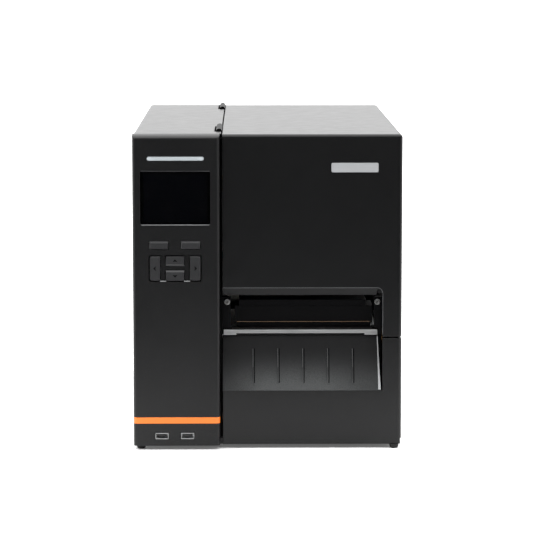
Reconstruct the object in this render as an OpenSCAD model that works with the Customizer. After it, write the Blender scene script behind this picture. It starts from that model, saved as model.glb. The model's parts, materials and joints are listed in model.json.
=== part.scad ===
// Industrial thermal-transfer label printer: a tower with the display and keys on the left, and a
// media bay on the right under a cover that swings up. X is right, Y is back, Z is up. The origin is
// the centre of the footprint, on the surface that the feet stand on.

/* [Casing] */
// Width of the whole printer
overall_w = 276; // [276:1:290]
// Depth, from the key faces to the connector posts
overall_d = 502; // [502:1:520]
// Height of the media cover's top
casing_h = 324.7; // [324:0.1:332]
// Width of the tower
tower_w = 89; // [88:0.5:90]
// Wall of the covers
shell_t = 2.5; // [2:0.1:2.8]
// Radius of the casing's outer edges
corner_r = 4; // [3:0.5:5]
// Height of the feet
foot_h = 4; // [3:0.5:5]
// Height of the orange stripe
stripe_h = 6.5; // [4:0.5:9]
// Length of each top hinge
hinge_len = 77; // [60:1:85]

/* [Display and keys] */
// Width of the display opening
display_w = 71.5; // [60:0.5:74]
// Height of the display opening
display_h = 56; // [48:0.5:58]
// Length of the indicator bar
indicator_len = 58.2; // [40:0.2:64]
// Gap between a key and its hole
key_gap = 0.3; // [0.2:0.05:0.4]
// Depth of the four-way pad's recess
pad_recess = 2; // [1.5:0.1:2.2]

/* [Label exit] */
// Width of the label exit in the cover
mouth_w = 164.4; // [160:0.2:166]
// Height of the label exit's upper edge
mouth_top = 166.9; // [164:0.1:175]
// Depth of the exit's bevel
mouth_bevel = 7; // [5:0.5:7]
// Height of the tear bar's edge
tear_z = 122.1; // [121.8:0.1:122.4]
// Bottom of the sloping chute
chute_bottom = 60.5; // [50:0.5:70]
// Number of ribs on the chute
chute_ribs = 5; // [3:1:7]

/* [Print mechanism] */
// Radius of the platen's rubber
platen_r = 9; // [8:0.5:9]
// Radius of the platen's shaft
platen_shaft_r = 4; // [3:0.5:4]
// Teeth of the platen's gear
platen_teeth = 40; // [40:2:40]
// Teeth of each motor's pinion
pinion_teeth = 16; // [16:2:16]
// Module of the gears
gear_module = 1; // [1:0.1:1]
// Radius of the two pressure knobs
knob_r = 8; // [6:0.5:9]
// Coils in each head spring
spring_coils = 4; // [3:1:5]

/* [Media and ribbon] */
// Radius of the label roll's spindle
spindle_r = 19; // [12:0.5:19]
// Radius of the roll's side guard
guard_r = 48; // [36:1:55]
// Radius of the ribbon cores' drivers
ribbon_core_r = 12.5; // [11:0.5:13]
// Teeth of the rewind spindle's gear
rewind_teeth = 48; // [48:2:48]
// Width of the cover's window
window_w = 335; // [260:1:345]
// Height of the cover's window
window_h = 165; // [120:1:170]

/* [Hidden] */
$fn = 64;

// Clearances
over = 1;          // how far a cutter runs past the face it cuts
insert_gap = 0.15; // around a fixed insert
run_gap = 0.05;    // radial, around a turning shaft

// Casing: X
left_x = -overall_w / 2;
right_x = overall_w / 2;
tower_right = left_x + tower_w;
media_left = tower_right + 2.7;
frame_left = tower_right - 3;
frame_right = tower_right + 1;
tower_inner = left_x + shell_t;
// Casing: Y
key_face_y = -overall_d / 2;
front_y = key_face_y + 0.8;
bezel_back = front_y + 14.2;
media_front = front_y + 7.7;
pan_front = media_front + shell_t;
post_end_y = overall_d / 2;
plate_y = post_end_y - 5;
plate_t = 2.5;
cover_back = plate_y - 1.5;
// Casing: Z
pan_h = 6;
pan_floor = foot_h + 3;
pan_top = foot_h + pan_h;
tower_top = casing_h + 0.5;
frame_top = casing_h - 6.7;
seam_z = 114.3;
seam_gap = 2;
roll_depth = 12;
roll_height = 5.2;
stripe_z = 27.3;
stripe_t = 0.6;

// Hinges
hinge_x = tower_right - 0.9;
hinge_z = casing_h + 0.3;
hinge_r = 3.3;
hinge_pin_r = 1.5;
hinge_y = [front_y + 41, plate_y - 7 - hinge_len];
knuckles = 5;
knuckle_gap = 0.3;
knuckle_len = (hinge_len - (knuckles - 1) * knuckle_gap) / knuckles;
leaf_t = 1.6;

// Display, keys and front sockets, as [x, z] from the tower's left edge and the surface
display_at = [left_x + 43.85, 260.4];
indicator_at = [left_x + 44.1, 300.5];
indicator_h = 4.4;
indicator_r = 2.1;
pad_lo = [left_x + 16.3, 174.3];
pad_hi = [left_x + 70.9, 202.1];
pad_wall = 2.5;
key_depth = 6.8;
soft_left = [[left_x + 17.4, 207.9], [left_x + 36.6, 215.9]];
soft_right = [[left_x + 49.6, 207.9], [left_x + 69.3, 215.9]];
pad_left = [[left_x + 17.3, 175.2], [left_x + 28.5, 201.1]];
pad_right = [[left_x + 58.2, 175.2], [left_x + 69.9, 201.1]];
pad_up = [[left_x + 33.7, 190.5], [left_x + 53, 201.1]];
pad_down = [[left_x + 33.7, 175.1], [left_x + 53, 186.1]];
all_keys = [soft_left, soft_right, pad_left, pad_right, pad_up, pad_down];
usb_x = [left_x + 29.1, left_x + 55.4];
usb_z = 14.15;
usb_size = [14.6, 7.3];
usb_shell = [13.2, 6];
usb_depth = 17;

// Label exit
mouth_right = media_left + mouth_w;
tear_y = front_y + 17.7;
tear_t = 2.5;
tear_h = 3.5;
cheek_y = tear_y + tear_t;
cheek_t = 6;
cheek_left = [frame_right, frame_right + 10];
side_plate = [media_left + 160.3, media_left + 164.3];
cheek_right = [side_plate[0] - 4, side_plate[1]];
cheek_top = 156;
chute_top = 116;

// Print mechanism: axes as [y, z]
platen_at = [tear_y + 16.5, 114.8];
platen_x = [frame_right + 11, cheek_right[0] - 1];
gear_x = [frame_left - 10, frame_left - 2];
motor_face_x = gear_x[0] - 4;
motor_at = platen_at + [gear_module * (platen_teeth + pinion_teeth) / 2, 0];
head_pivot = [platen_at[0] + 66, 166];
lever_pivot = head_pivot + [0, 24];
pivot_r = 4;
lug_r = 8;
lug_x = [frame_right + 12, frame_right + 150];
lug_t = 6;
bridge_y = [head_pivot[0] + 11, head_pivot[0] + 29];
bridge_z = [150, 206];
carrier_z = [146, 152];
carrier_front = platen_at[0] - 6;
knob_x = [frame_right + 53, frame_right + 115];
knob_y = head_pivot[0] - 36;
spring_h = 14;
knob_h = 13;

// Media and ribbon: axes as [y, z]
path_z = 122.5;
path_t = 2;
sensor_rail_at = [-132, 113];
sensor_rail_r = 3;
label_at = [125, 150];
label_len = 144;
guard_x = frame_right + 122;
supply_at = [15, 262];
rewind_at = [-105, 262];
ribbon_motor_at = rewind_at + [gear_module * (rewind_teeth + pinion_teeth) / 2, 0];
ribbon_shaft_r = 5;
ribbon_x = [frame_right + 4, frame_right + 122];
damper_at = [-55, 100];
damper_roller_at = damper_at + [16, 30];
damper_shaft_r = 4;
damper_arm_x = [frame_right + 2, frame_right + 128];
window_at = [2, 203];
window_lap = 6;
grip_y = [-45, 45];
grip_z = [60, 84];
grip_depth = 12;

// Electronics
board_x = frame_left - 8.4;
board_t = 1.6;
inlet_x = [left_x + 12, left_x + 60];
inlet_z = [52, 80];
rocker_at = [plate_y - 3, 66];
rocker_x = [inlet_x[1] - 15, inlet_x[1] - 4.5];
rocker_tilt = 8;
vent_pitch = 8;
// The rear sockets' outlines in (x, z): serial, USB-B and network
ports = [
    [[board_x - 14.5, 96], [board_x - 2, 127]],
    [[board_x - 13.5, 146], [board_x - 1.5, 157]],
    [[board_x - 17, 176], [board_x - 1, 190]]
];

// Feet and screws
feet_at = [for (x = [-1, 1], y = [front_y + 10.2, plate_y - 11]) [x * (right_x - 7.4), y]];
rear_screws = [
    for (x = [left_x + 6, -28, right_x - 10], z = [18, 190, casing_h - 12]) [x, z]
];
bar_screw_x = [media_left + 4.6, mouth_right - 4.9];
bar_screw_z = 151;

// ---- Shared shapes ----

// A box given by two opposite corners
module block(lo, hi) {
    translate(lo) cube(hi - lo);
}

// A 2D shape in (y, z), extruded along X
module prism_x(x) {
    translate([x[0], 0, 0]) rotate([90, 0, 90]) linear_extrude(x[1] - x[0]) children();
}

// A 2D shape in (x, z), extruded along Y
module prism_y(y) {
    translate([0, y[1], 0]) rotate([90, 0, 0]) linear_extrude(y[1] - y[0]) children();
}

// A 2D shape in (x, y), extruded along Z
module prism_z(z) {
    translate([0, 0, z[0]]) linear_extrude(z[1] - z[0]) children();
}

module rod_x(x, at, r) {
    translate([x[0], at[0], at[1]]) rotate([0, 90, 0]) cylinder(r = r, h = x[1] - x[0]);
}

module rod_y(y, at, r) {
    translate([at[0], y[0], at[1]]) rotate([-90, 0, 0]) cylinder(r = r, h = y[1] - y[0]);
}

module rect(lo, hi) {
    translate(lo) square(hi - lo);
}

// A rectangle with all four corners rounded
module round_rect(lo, hi, r) {
    rect(lo + [r, 0], hi - [r, 0]);
    rect(lo + [0, r], hi - [0, r]);
    for (x = [lo[0] + r, hi[0] - r], y = [lo[1] + r, hi[1] - r]) translate([x, y]) circle(r);
}

// What is cut away to round one corner; inward points from the corner into the shape
module corner_waste(corner, inward, r) {
    size = [r + over, r + over];
    from = [for (i = [0, 1]) inward[i] > 0 ? -over : -r];
    translate(corner) difference() {
        translate(from) square(size);
        translate(inward * r) circle(r);
    }
}

// What is cut away to roll one corner off as a quarter of an ellipse, rising to the right
module roll_waste(corner, depth, height) {
    steps = 10;
    arc = [
        for (i = [0:steps])
            let (a = 90 * i / steps) corner + [depth * (1 - cos(a)), height * (sin(a) - 1)]
    ];
    polygon(concat([corner + [-over, -height], corner + [-over, over],
                    corner + [depth, over]], [for (i = [steps:-1:0]) arc[i]]));
}

// Involute gear outline with a tooth on the first axis, turned by phase
module gear_outline(teeth, phase = 0, bore_r = 0) {
    backlash = 0.12;
    pitch_r = gear_module * teeth / 2;
    root_r = pitch_r - 1.15 * gear_module;
    tip_r = pitch_r + 0.8 * gear_module;
    base_r = pitch_r * cos(20);
    start_r = max(base_r, root_r + 0.01);
    steps = 3;
    radii = [for (i = [0:steps]) start_r + (tip_r - start_r) * i / steps];
    function involute(a) = tan(a) - a * PI / 180;
    function half_angle(r) =
        90 / teeth + (involute(20) - involute(acos(min(1, base_r / r))) - backlash / 2 / pitch_r)
        * 180 / PI;
    difference() {
        polygon([
            for (t = [0:teeth - 1])
                let (c = phase + 360 * t / teeth)
                    each concat(
                        [root_r * [cos(c - half_angle(start_r)), sin(c - half_angle(start_r))]],
                        [for (r = radii) r * [cos(c - half_angle(r)), sin(c - half_angle(r))]],
                        [for (i = [steps:-1:0])
                            radii[i] * [cos(c + half_angle(radii[i])), sin(c + half_angle(radii[i]))]],
                        [root_r * [cos(c + half_angle(start_r)), sin(c + half_angle(start_r))]]
                    )
        ]);
        if (bore_r > 0) circle(bore_r);
    }
}

module gear(x, at, teeth, phase = 0, bore_r = 0) {
    prism_x(x) translate(at) gear_outline(teeth, phase, bore_r);
}

// A spring wire wound up the Z axis
module coil(base, r, wire, height, turns) {
    sides = 6;
    per_turn = 12;
    rings = turns * per_turn;
    points = [
        for (i = [0:rings], s = [0:sides - 1])
            let (a = 360 * i / per_turn, b = 360 * s / sides, q = r + wire * cos(b))
                [q * cos(a), q * sin(a), wire + (height - 2 * wire) * i / rings + wire * sin(b)]
    ];
    walls = [
        for (i = [0:rings - 1], s = [0:sides - 1])
            let (n = (s + 1) % sides)
                [i * sides + s, (i + 1) * sides + s, (i + 1) * sides + n, i * sides + n]
    ];
    ends = [
        [for (s = [0:sides - 1]) s],
        [for (s = [sides - 1:-1:0]) rings * sides + s]
    ];
    translate(base) polyhedron(points, concat(walls, ends));
}

// ---- Casing ----

module base_pan() {
    wall = 4;
    color([0.12, 0.12, 0.13]) difference() {
        block([tower_inner, pan_front, foot_h], [right_x - 1, plate_y, pan_top]);
        block([tower_inner + wall, pan_front + wall, pan_floor],
              [right_x - 1 - wall, plate_y - wall, pan_top + over]);
    }
}

module rubber_feet() {
    color([0.05, 0.05, 0.05])
        for (p = feet_at) translate([p[0], p[1], 0]) cylinder(r1 = 4, r2 = 5, h = foot_h);
}

module centre_frame() {
    color([0.2, 0.2, 0.21]) difference() {
        block([frame_left, pan_front + 6.5, pan_floor],
              [frame_right, plate_y - 4.5, frame_top]);
        rod_x([frame_left - over, frame_right + over], platen_at, 7);
        for (at = [supply_at, rewind_at])
            rod_x([frame_left - over, frame_right + over], at, 8);
        rod_x([frame_left - over, frame_right + over], damper_at, damper_shaft_r + run_gap);
        prism_x([frame_left - over, frame_right + over]) round_rect([-30, 180], [10, 210], 6);
        prism_x([frame_left - over, frame_right + over]) round_rect([-30, 30], [10, 60], 6);
    }
}

// Plan outline of the tower's front, inset all round
module tower_plan(inset, back) {
    difference() {
        rect([left_x + inset, front_y + inset], [tower_right - inset, back]);
        corner_waste([left_x + inset, front_y + inset], [1, 1], corner_r - inset);
        corner_waste([tower_right - inset, front_y + inset], [-1, 1], corner_r - inset);
    }
}

module front_bezel() {
    inner = [left_x + shell_t, tower_right - shell_t];
    wall_y = front_y + shell_t;
    color([0.11, 0.11, 0.12]) difference() {
        union() {
            difference() {
                intersection() {
                    prism_z([foot_h, tower_top]) tower_plan(0, bezel_back);
                    prism_x([left_x, tower_right]) difference() {
                        rect([front_y, foot_h], [bezel_back, tower_top]);
                        roll_waste([front_y, tower_top], roll_depth, roll_height);
                    }
                }
                block([inner[0], wall_y, foot_h + shell_t],
                      [inner[1], bezel_back + over, tower_top - roll_height - shell_t]);
                block([inner[0], front_y + roll_depth, tower_top - roll_height - shell_t - over],
                      [inner[1], bezel_back + over, tower_top - shell_t]);
                block([left_x - over, pan_front, foot_h - over],
                      [tower_right + over, bezel_back + over, pan_top]);
            }
            block([pad_lo[0] - pad_wall, wall_y, pad_lo[1] - pad_wall],
                  [pad_hi[0] + pad_wall, wall_y + pad_recess, pad_hi[1] + pad_wall]);
        }
        prism_z([stripe_z, stripe_z + stripe_h]) difference() {
            tower_plan(-over, bezel_back + over);
            tower_plan(stripe_t, bezel_back + 2 * over);
        }
        prism_y([front_y - over, wall_y + over]) {
            round_rect(indicator_at - [indicator_len, indicator_h] / 2,
                       indicator_at + [indicator_len, indicator_h] / 2, indicator_r);
            round_rect(display_at - [display_w, display_h] / 2,
                       display_at + [display_w, display_h] / 2, 2.5);
        }
        prism_y([front_y - over, front_y + pad_recess]) round_rect(pad_lo, pad_hi, 3);
        for (k = all_keys)
            block([k[0][0] - key_gap, front_y - over, k[0][1] - key_gap],
                  [k[1][0] + key_gap, wall_y + pad_recess + over, k[1][1] + key_gap]);
        for (x = usb_x) prism_y([front_y - over, wall_y + over])
            rect([x - usb_size[0] / 2, usb_z - usb_size[1] / 2],
                 [x + usb_size[0] / 2, usb_z + usb_size[1] / 2]);
    }
}

module accent_stripe() {
    color([0.95, 0.42, 0.1]) prism_z([stripe_z, stripe_z + stripe_h]) difference() {
        tower_plan(0, bezel_back);
        tower_plan(stripe_t, bezel_back + over);
    }
}

module tower_cover() {
    hinge_cut = 4.7;
    color([0.12, 0.12, 0.13]) difference() {
        prism_y([bezel_back, plate_y]) difference() {
            rect([left_x, foot_h], [tower_right + 1.4, tower_top]);
            corner_waste([left_x, tower_top], [1, -1], corner_r);
            rect([left_x + shell_t, foot_h - over],
                 [tower_right + 1.4 + over, tower_top - shell_t]);
        }
        for (y = hinge_y)
            block([hinge_x - hinge_cut, y - knuckle_gap, tower_top - shell_t - over],
                  [tower_right + 1.4 + over, y + hinge_len + knuckle_gap, tower_top + over]);
        for (z = [230:vent_pitch:286])
            prism_x([left_x - over, left_x + shell_t + over])
                round_rect([70, z], [190, z + 3], 1.4);
    }
}

module indicator_bar() {
    color([0.9, 0.94, 0.97]) prism_y([front_y + 0.2, front_y + 5])
        round_rect(indicator_at - [indicator_len, indicator_h] / 2 + [insert_gap, insert_gap],
                   indicator_at + [indicator_len, indicator_h] / 2 - [insert_gap, insert_gap],
                   indicator_r - insert_gap);
}

module display_module() {
    glass = [front_y + 1.2, front_y + shell_t];
    half = [display_w, display_h] / 2;
    color([0.02, 0.02, 0.025]) {
        prism_y(glass) round_rect(display_at - half + [insert_gap, insert_gap],
                                  display_at + half - [insert_gap, insert_gap], 2.3);
        prism_y([glass[1], glass[1] + 4])
            round_rect(display_at - half - [2, 2], display_at + half + [2, 2], 2);
    }
}

module control_board() {
    board_y = [front_y + 8.6, front_y + 10.2];
    color([0.05, 0.3, 0.15]) {
        block([tower_inner + 3, board_y[0], 168], [tower_right - 6, board_y[1], 306]);
        for (k = all_keys) {
            mid = (k[0] + k[1]) / 2;
            block([mid[0] - 2.5, board_y[0] - 0.6, mid[1] - 2.5],
                  [mid[0] + 2.5, board_y[0], mid[1] + 2.5]);
        }
        block([display_at[0] - 20, board_y[0] - 1.9, display_at[1] - 16],
              [display_at[0] + 20, board_y[0], display_at[1] + 16]);
    }
}

// One USB-A socket: a bent metal shell round a plastic tongue, open at the front
module usb_socket(x) {
    shell_y = [front_y + 0.4, front_y + usb_depth];
    wall = 0.5;
    half = usb_shell / 2;
    at = [x, usb_z];
    difference() {
        prism_y(shell_y) rect(at - half, at + half);
        prism_y([shell_y[0] - over, shell_y[1] - 2])
            rect(at - half + [wall, wall], at + half - [wall, wall]);
    }
    block([x - 5, shell_y[0] + 1, usb_z - 0.2], [x + 5, shell_y[1] - 1, usb_z + 1.6]);
}

module usb_host_ports() {
    color([0.7, 0.7, 0.7]) for (x = usb_x) usb_socket(x);
}

module lower_front_panel() {
    side_end = front_y + 35.2;
    inner_x = right_x - shell_t;
    color([0.12, 0.12, 0.13]) difference() {
        prism_z([foot_h, seam_z]) difference() {
            rect([media_left, media_front], [right_x, side_end]);
            corner_waste([right_x, media_front], [-1, 1], corner_r);
            rect([media_left - over, pan_front], [inner_x, side_end + over]);
        }
        prism_y([media_front - over, pan_front + over])
            rect([media_left - over, chute_bottom], [mouth_right, seam_z + over]);
        block([right_x - 1, media_front - over, foot_h - over],
              [right_x + over, side_end + over, pan_top]);
        block([inner_x - over, pan_front, foot_h - over], [right_x, side_end + over, pan_top]);
    }
}

module exit_chute() {
    front_top = [tear_y + 3, chute_top];
    front_low = [media_front - 2.1, chute_bottom + 1.6];
    thick = 3;
    rib_z = [68.2, 102.6];
    rib_span = 102.6;
    slope = (front_top[0] - front_low[0]) / (front_top[1] - front_low[1]);
    function face_y(z) = front_low[0] + slope * (z - front_low[1]);
    color([0.11, 0.11, 0.12]) {
        prism_x([media_left, mouth_right - 1.5])
            polygon([front_top, front_top + [thick, 0], front_low + [thick + 1.6, -1.6],
                     front_low + [0, -1.6], front_low]);
        for (i = [0:chute_ribs - 1]) {
            x = media_left + 31.4 + i * rib_span / (chute_ribs - 1);
            prism_x([x - 0.6, x + 0.6])
                polygon([[face_y(rib_z[0]) + 0.5, rib_z[0]], [face_y(rib_z[0]) - 0.7, rib_z[0] + 3],
                         [face_y(rib_z[1]) - 0.7, rib_z[1] - 3], [face_y(rib_z[1]) + 0.5, rib_z[1]]]);
        }
    }
}

module tear_bar() {
    x = [media_left + 1, mouth_right - 4.9];
    tab = 13;
    color([0.75, 0.75, 0.76]) prism_x(x)
        polygon([[tear_y, tear_z - 0.8], [tear_y + 0.8, tear_z], [tear_y + tear_t, tear_z],
                 [tear_y + tear_t, tear_z - tear_h], [tear_y, tear_z - tear_h]]);
    color([0.75, 0.75, 0.76]) for (x0 = [x[0], x[1] - tab])
        block([x0, tear_y, tear_z - tear_h - 1.7], [x0 + tab, tear_y + tear_t, tear_z - tear_h]);
}

// ---- Rear ----

module rear_panel() {
    y = [plate_y, plate_y + plate_t];
    cut = [plate_y - over, plate_y + plate_t + over];
    color([0.12, 0.12, 0.13]) difference() {
        prism_y(y) difference() {
            rect([left_x, foot_h], [right_x, casing_h]);
            corner_waste([left_x, casing_h], [1, -1], corner_r);
            corner_waste([right_x, casing_h], [-1, -1], corner_r);
        }
        prism_y(cut) rect([inlet_x[0] + 2, inlet_z[0] + 2], [inlet_x[1] - 2, inlet_z[1] - 2]);
        prism_y(cut) for (p = ports)
            rect(p[0] - [insert_gap, insert_gap], p[1] + [insert_gap, insert_gap]);
        prism_y(cut) round_rect([media_left + 6, 114], [media_left + 126, 127], 3);
        for (z = [210:vent_pitch:290])
            prism_y(cut) round_rect([left_x + 16, z], [left_x + 56, z + 3], 1.4);
        for (p = rear_screws) rod_y(cut, p, 1.6);
    }
}

module power_inlet() {
    flange_y = [plate_y + plate_t, plate_y + plate_t + 1.8];
    body_y = [plate_y - 20, plate_y + plate_t];
    socket = [[inlet_x[0] + 4, inlet_z[0] + 6], [inlet_x[0] + 29, inlet_z[1] - 6]];
    mid = (socket[0] + socket[1]) / 2;
    pin_y = [body_y[0] + 2, plate_y - 3];
    color([0.06, 0.06, 0.06]) {
        difference() {
            union() {
                prism_y(flange_y) round_rect([inlet_x[0], inlet_z[0]], [inlet_x[1], inlet_z[1]], 2);
                block([inlet_x[0] + 2.2, body_y[0], inlet_z[0] + 2.2],
                      [inlet_x[1] - 2.2, body_y[1], inlet_z[1] - 2.2]);
            }
            prism_y([body_y[0] + 3, flange_y[1] + over]) polygon([
                socket[0], [socket[1][0], socket[0][1]], [socket[1][0], socket[1][1] - 5],
                [socket[1][0] - 5, socket[1][1]], [socket[0][0] + 5, socket[1][1]],
                [socket[0][0], socket[1][1] - 5]
            ]);
            block([rocker_x[0] - 0.3, body_y[0] + 3, rocker_at[1] - 10.5],
                  [rocker_x[1] + 0.3, flange_y[1] + over, rocker_at[1] + 10.5]);
        }
        for (p = [[-7, -2], [7, -2], [0, 4]])
            block([mid[0] + p[0] - 1, pin_y[0], mid[1] + p[1] - 2],
                  [mid[0] + p[0] + 1, pin_y[1], mid[1] + p[1] + 2]);
        rod_x([rocker_x[0] - 0.6, rocker_x[1] + 0.6], rocker_at, 1 - run_gap);
    }
}

module power_switch() {
    color([0.08, 0.08, 0.08]) translate([0, rocker_at[0], rocker_at[1]])
        rotate([-rocker_tilt, 0, 0]) difference() {
            prism_x(rocker_x) polygon([[-4, -4], [0, -9], [5.5, -9], [4.2, 0], [5.5, 9], [0, 9],
                                       [-4, 4]]);
            rod_x([rocker_x[0] - over, rocker_x[1] + over], [0, 0], 1);
        }
}

module rear_ports() {
    mouth_y = plate_y + plate_t + 0.4;
    back_y = plate_y - 16;
    rim = 1.8;
    color([0.75, 0.75, 0.76]) {
        for (p = [ports[1], ports[2]]) difference() {
            prism_y([back_y, mouth_y]) rect(p[0], p[1]);
            prism_y([mouth_y - 11, mouth_y + over]) rect(p[0] + [rim, rim], p[1] - [rim, rim]);
        }
        prism_y([back_y, mouth_y]) rect(ports[0][0], ports[0][1]);
        difference() {
            prism_y([mouth_y, post_end_y - 0.4])
                round_rect(ports[0][0] + [1.8, 6], ports[0][1] - [1.8, 6], 2.5);
            prism_y([mouth_y + 0.3, post_end_y])
                round_rect(ports[0][0] + [2.4, 6.6], ports[0][1] - [2.4, 6.6], 1.9);
        }
        for (z = [ports[0][0][1] + 3, ports[0][1][1] - 3])
            rod_y([mouth_y, post_end_y], [(ports[0][0][0] + ports[0][1][0]) / 2, z], 2.3);
    }
}

module main_board() {
    parts = [
        [[40, 60], [70, 90], 4], [[100, 70], [125, 95], 3], [[150, 40], [175, 100], 6],
        [[60, 150], [100, 175], 5], [[140, 150], [160, 170], 10]
    ];
    color([0.05, 0.3, 0.15]) {
        block([board_x, 0, 20], [board_x + board_t, plate_y - 6, 225]);
        for (p = parts)
            block([board_x - p[2], p[0][0], p[0][1]], [board_x, p[1][0], p[1][1]]);
        for (z = [115, 130, 145]) rod_x([board_x - 16, board_x], [40, z], 6);
        for (y = [10, 225], z = [28, 217])
            rod_x([board_x + board_t, frame_left], [y, z], 3);
    }
}

module power_supply() {
    box = [[tower_inner + 5, 30, pan_floor], [board_x - 20, 200, pan_floor + 38]];
    color([0.7, 0.71, 0.72]) difference() {
        block(box[0], box[1]);
        for (y = [50:vent_pitch:180])
            block([box[0][0] + 8, y, box[1][2] - 1.5], [box[1][0] - 8, y + 3, box[1][2] + over]);
    }
}

// A motor body on posts that stand off the frame, on the given sides in Y
module motor_mount(at, half, length, sides) {
    post_r = 3;
    block([motor_face_x - length, at[0] - half, at[1] - half],
          [motor_face_x, at[0] + half, at[1] + half]);
    for (y = sides, z = [-1, 1])
        rod_x([motor_face_x, frame_left], at + [y, z] * (half - post_r - 0.5), post_r);
}

module print_motor() {
    color([0.2, 0.2, 0.21]) difference() {
        motor_mount(motor_at, 28, 50, [-1, 1]);
        rod_x([motor_face_x - 6, motor_face_x + over], motor_at, 3 + run_gap);
    }
}

module ribbon_motor() {
    color([0.2, 0.2, 0.21]) difference() {
        motor_mount(ribbon_motor_at, 19, 40, [1]);
        rod_x([motor_face_x - 6, motor_face_x + over], ribbon_motor_at, 3 + run_gap);
    }
}

// ---- Print mechanism ----

module mechanism_base() {
    beam_y = [platen_at[0] + 16, platen_at[0] + 66];
    color([0.2, 0.2, 0.21]) difference() {
        union() {
            block([cheek_left[0], cheek_y, tear_z - 4.9],
                  [cheek_left[1], cheek_y + cheek_t, cheek_top]);
            block([cheek_right[0], cheek_y, tear_z - 4.9],
                  [cheek_right[1], cheek_y + cheek_t, cheek_top]);
            block([side_plate[0], cheek_y + cheek_t, pan_floor],
                  [side_plate[1], beam_y[1] + 30, path_z + 4]);
            block([frame_right, beam_y[0], path_z - path_t - 12],
                  [side_plate[0], beam_y[1], path_z - path_t]);
            block([frame_right, cheek_y + cheek_t, path_z - path_t - 24],
                  [frame_right + 4, beam_y[0] + over, path_z - path_t]);
            block([frame_right, cheek_y + cheek_t, path_z - path_t - over],
                  [frame_right + 4, beam_y[0] - 4.5, cheek_top]);
            rod_x([frame_right, side_plate[0] + over], sensor_rail_at, sensor_rail_r);
        }
        rod_x([side_plate[0] - over, side_plate[1] + over], platen_at, 7);
        rod_x([frame_right - over, frame_right + 5], platen_at, 10);
        for (x = bar_screw_x)
            rod_y([cheek_y - over, cheek_y + cheek_t + over], [x, bar_screw_z], 1.6);
    }
}

module shaft_bushes() {
    flange_r = 9.5;
    color([0.72, 0.56, 0.3]) {
        for (b = [[[frame_left, frame_right], platen_at, platen_shaft_r, 6.95],
                  [side_plate, platen_at, platen_shaft_r, 6.95],
                  [[frame_left, frame_right], supply_at, ribbon_shaft_r, 7.95],
                  [[frame_left, frame_right], rewind_at, ribbon_shaft_r, 7.95]])
            difference() {
                union() {
                    rod_x(b[0], b[1], b[3]);
                    rod_x([b[0][1], b[0][1] + 1.2], b[1], flange_r);
                }
                rod_x([b[0][0] - over, b[0][1] + 2 + over], b[1], b[2] + run_gap);
            }
    }
}

module platen_shaft() {
    color([0.75, 0.75, 0.76])
        rod_x([gear_x[0] - 1, side_plate[1] + 3], platen_at, platen_shaft_r);
}

module platen_roller() {
    color([0.09, 0.09, 0.09]) difference() {
        rod_x(platen_x, platen_at, platen_r);
        rod_x([platen_x[0] - over, platen_x[1] + over], platen_at, platen_shaft_r);
    }
}

module platen_gear() {
    color([0.85, 0.84, 0.8]) gear(gear_x, platen_at, platen_teeth, 0, platen_shaft_r);
}

module motor_pinion() {
    color([0.75, 0.6, 0.35]) {
        gear(gear_x, motor_at, pinion_teeth, 180 / pinion_teeth);
        rod_x([motor_face_x - 5, gear_x[0]], motor_at, 3);
    }
}

// A bored ear on the head bridge, reaching forward from the beam
module bridge_ear(x, at) {
    prism_x([x, x + lug_t]) difference() {
        union() {
            rect([at[0], at[1] - lug_r], [bridge_y[0] + over, at[1] + lug_r]);
            translate(at) circle(lug_r);
        }
        translate(at) circle(pivot_r + run_gap);
    }
}

module head_bridge() {
    pocket = 10;
    x = [frame_right, lug_x[1] + lug_t];
    color([0.6, 0.61, 0.62]) {
        difference() {
            block([x[0], bridge_y[0], bridge_z[0]], [x[1], bridge_y[1], bridge_z[1]]);
            for (i = [0:3])
                block([x[0] + 6 + i * 38, bridge_y[1] - pocket, bridge_z[0] + 8],
                      [x[0] + 38 + i * 38, bridge_y[1] + over, bridge_z[1] - 8]);
        }
        for (x = lug_x) {
            bridge_ear(x, head_pivot);
            bridge_ear(x, lever_pivot);
        }
    }
}

module head_carrier() {
    ears = [lug_x[0] + lug_t + 0.4, lug_x[1] - 0.4 - lug_t];
    color([0.2, 0.2, 0.21]) {
        block([ears[0], carrier_front, carrier_z[0]],
              [ears[1] + lug_t, head_pivot[0] - 10, carrier_z[1]]);
        for (x = ears) prism_x([x, x + lug_t]) {
            polygon([[head_pivot[0] - 24, carrier_z[1]], [head_pivot[0] - 24, carrier_z[0]],
                     [head_pivot[0], carrier_z[0] + 8], [head_pivot[0], head_pivot[1] + 6],
                     [head_pivot[0] - 6, head_pivot[1] + 4]]);
            translate(head_pivot) circle(lug_r - 1);
        }
        rod_x([lug_x[0] - 2, ears[0] + over], head_pivot, pivot_r);
        rod_x([ears[1] + lug_t - over, lug_x[1] + lug_t + 2], head_pivot, pivot_r);
        for (x = knob_x) translate([x, knob_y, carrier_z[1]]) cylinder(r = 2.5, h = spring_h + 6);
    }
}

module thermal_head() {
    sink_z = [128, carrier_z[0]];
    sink_y = [carrier_front, carrier_front + 40];
    head_x = [platen_x[0] + 3, platen_x[1] - 0.5];
    ceramic_z = platen_at[1] + platen_r + 0.6;
    color([0.2, 0.2, 0.21]) difference() {
        block([head_x[0], sink_y[0], sink_z[0]], [head_x[1], sink_y[1], sink_z[1]]);
        for (i = [0:3])
            block([head_x[0] - over, sink_y[0] + 6 + i * 9, sink_z[0] + 6],
                  [head_x[1] + over, sink_y[0] + 11 + i * 9, sink_z[1] - 3]);
    }
    color([0.78, 0.66, 0.45])
        block([head_x[0] + 2, sink_y[0] + 1, ceramic_z], [head_x[1] - 2, sink_y[0] + 16, sink_z[0]]);
}

module head_springs() {
    color([0.8, 0.8, 0.8])
        for (x = knob_x) coil([x, knob_y, carrier_z[1]], 4, 0.6, spring_h - 0.3, spring_coils);
}

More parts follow.
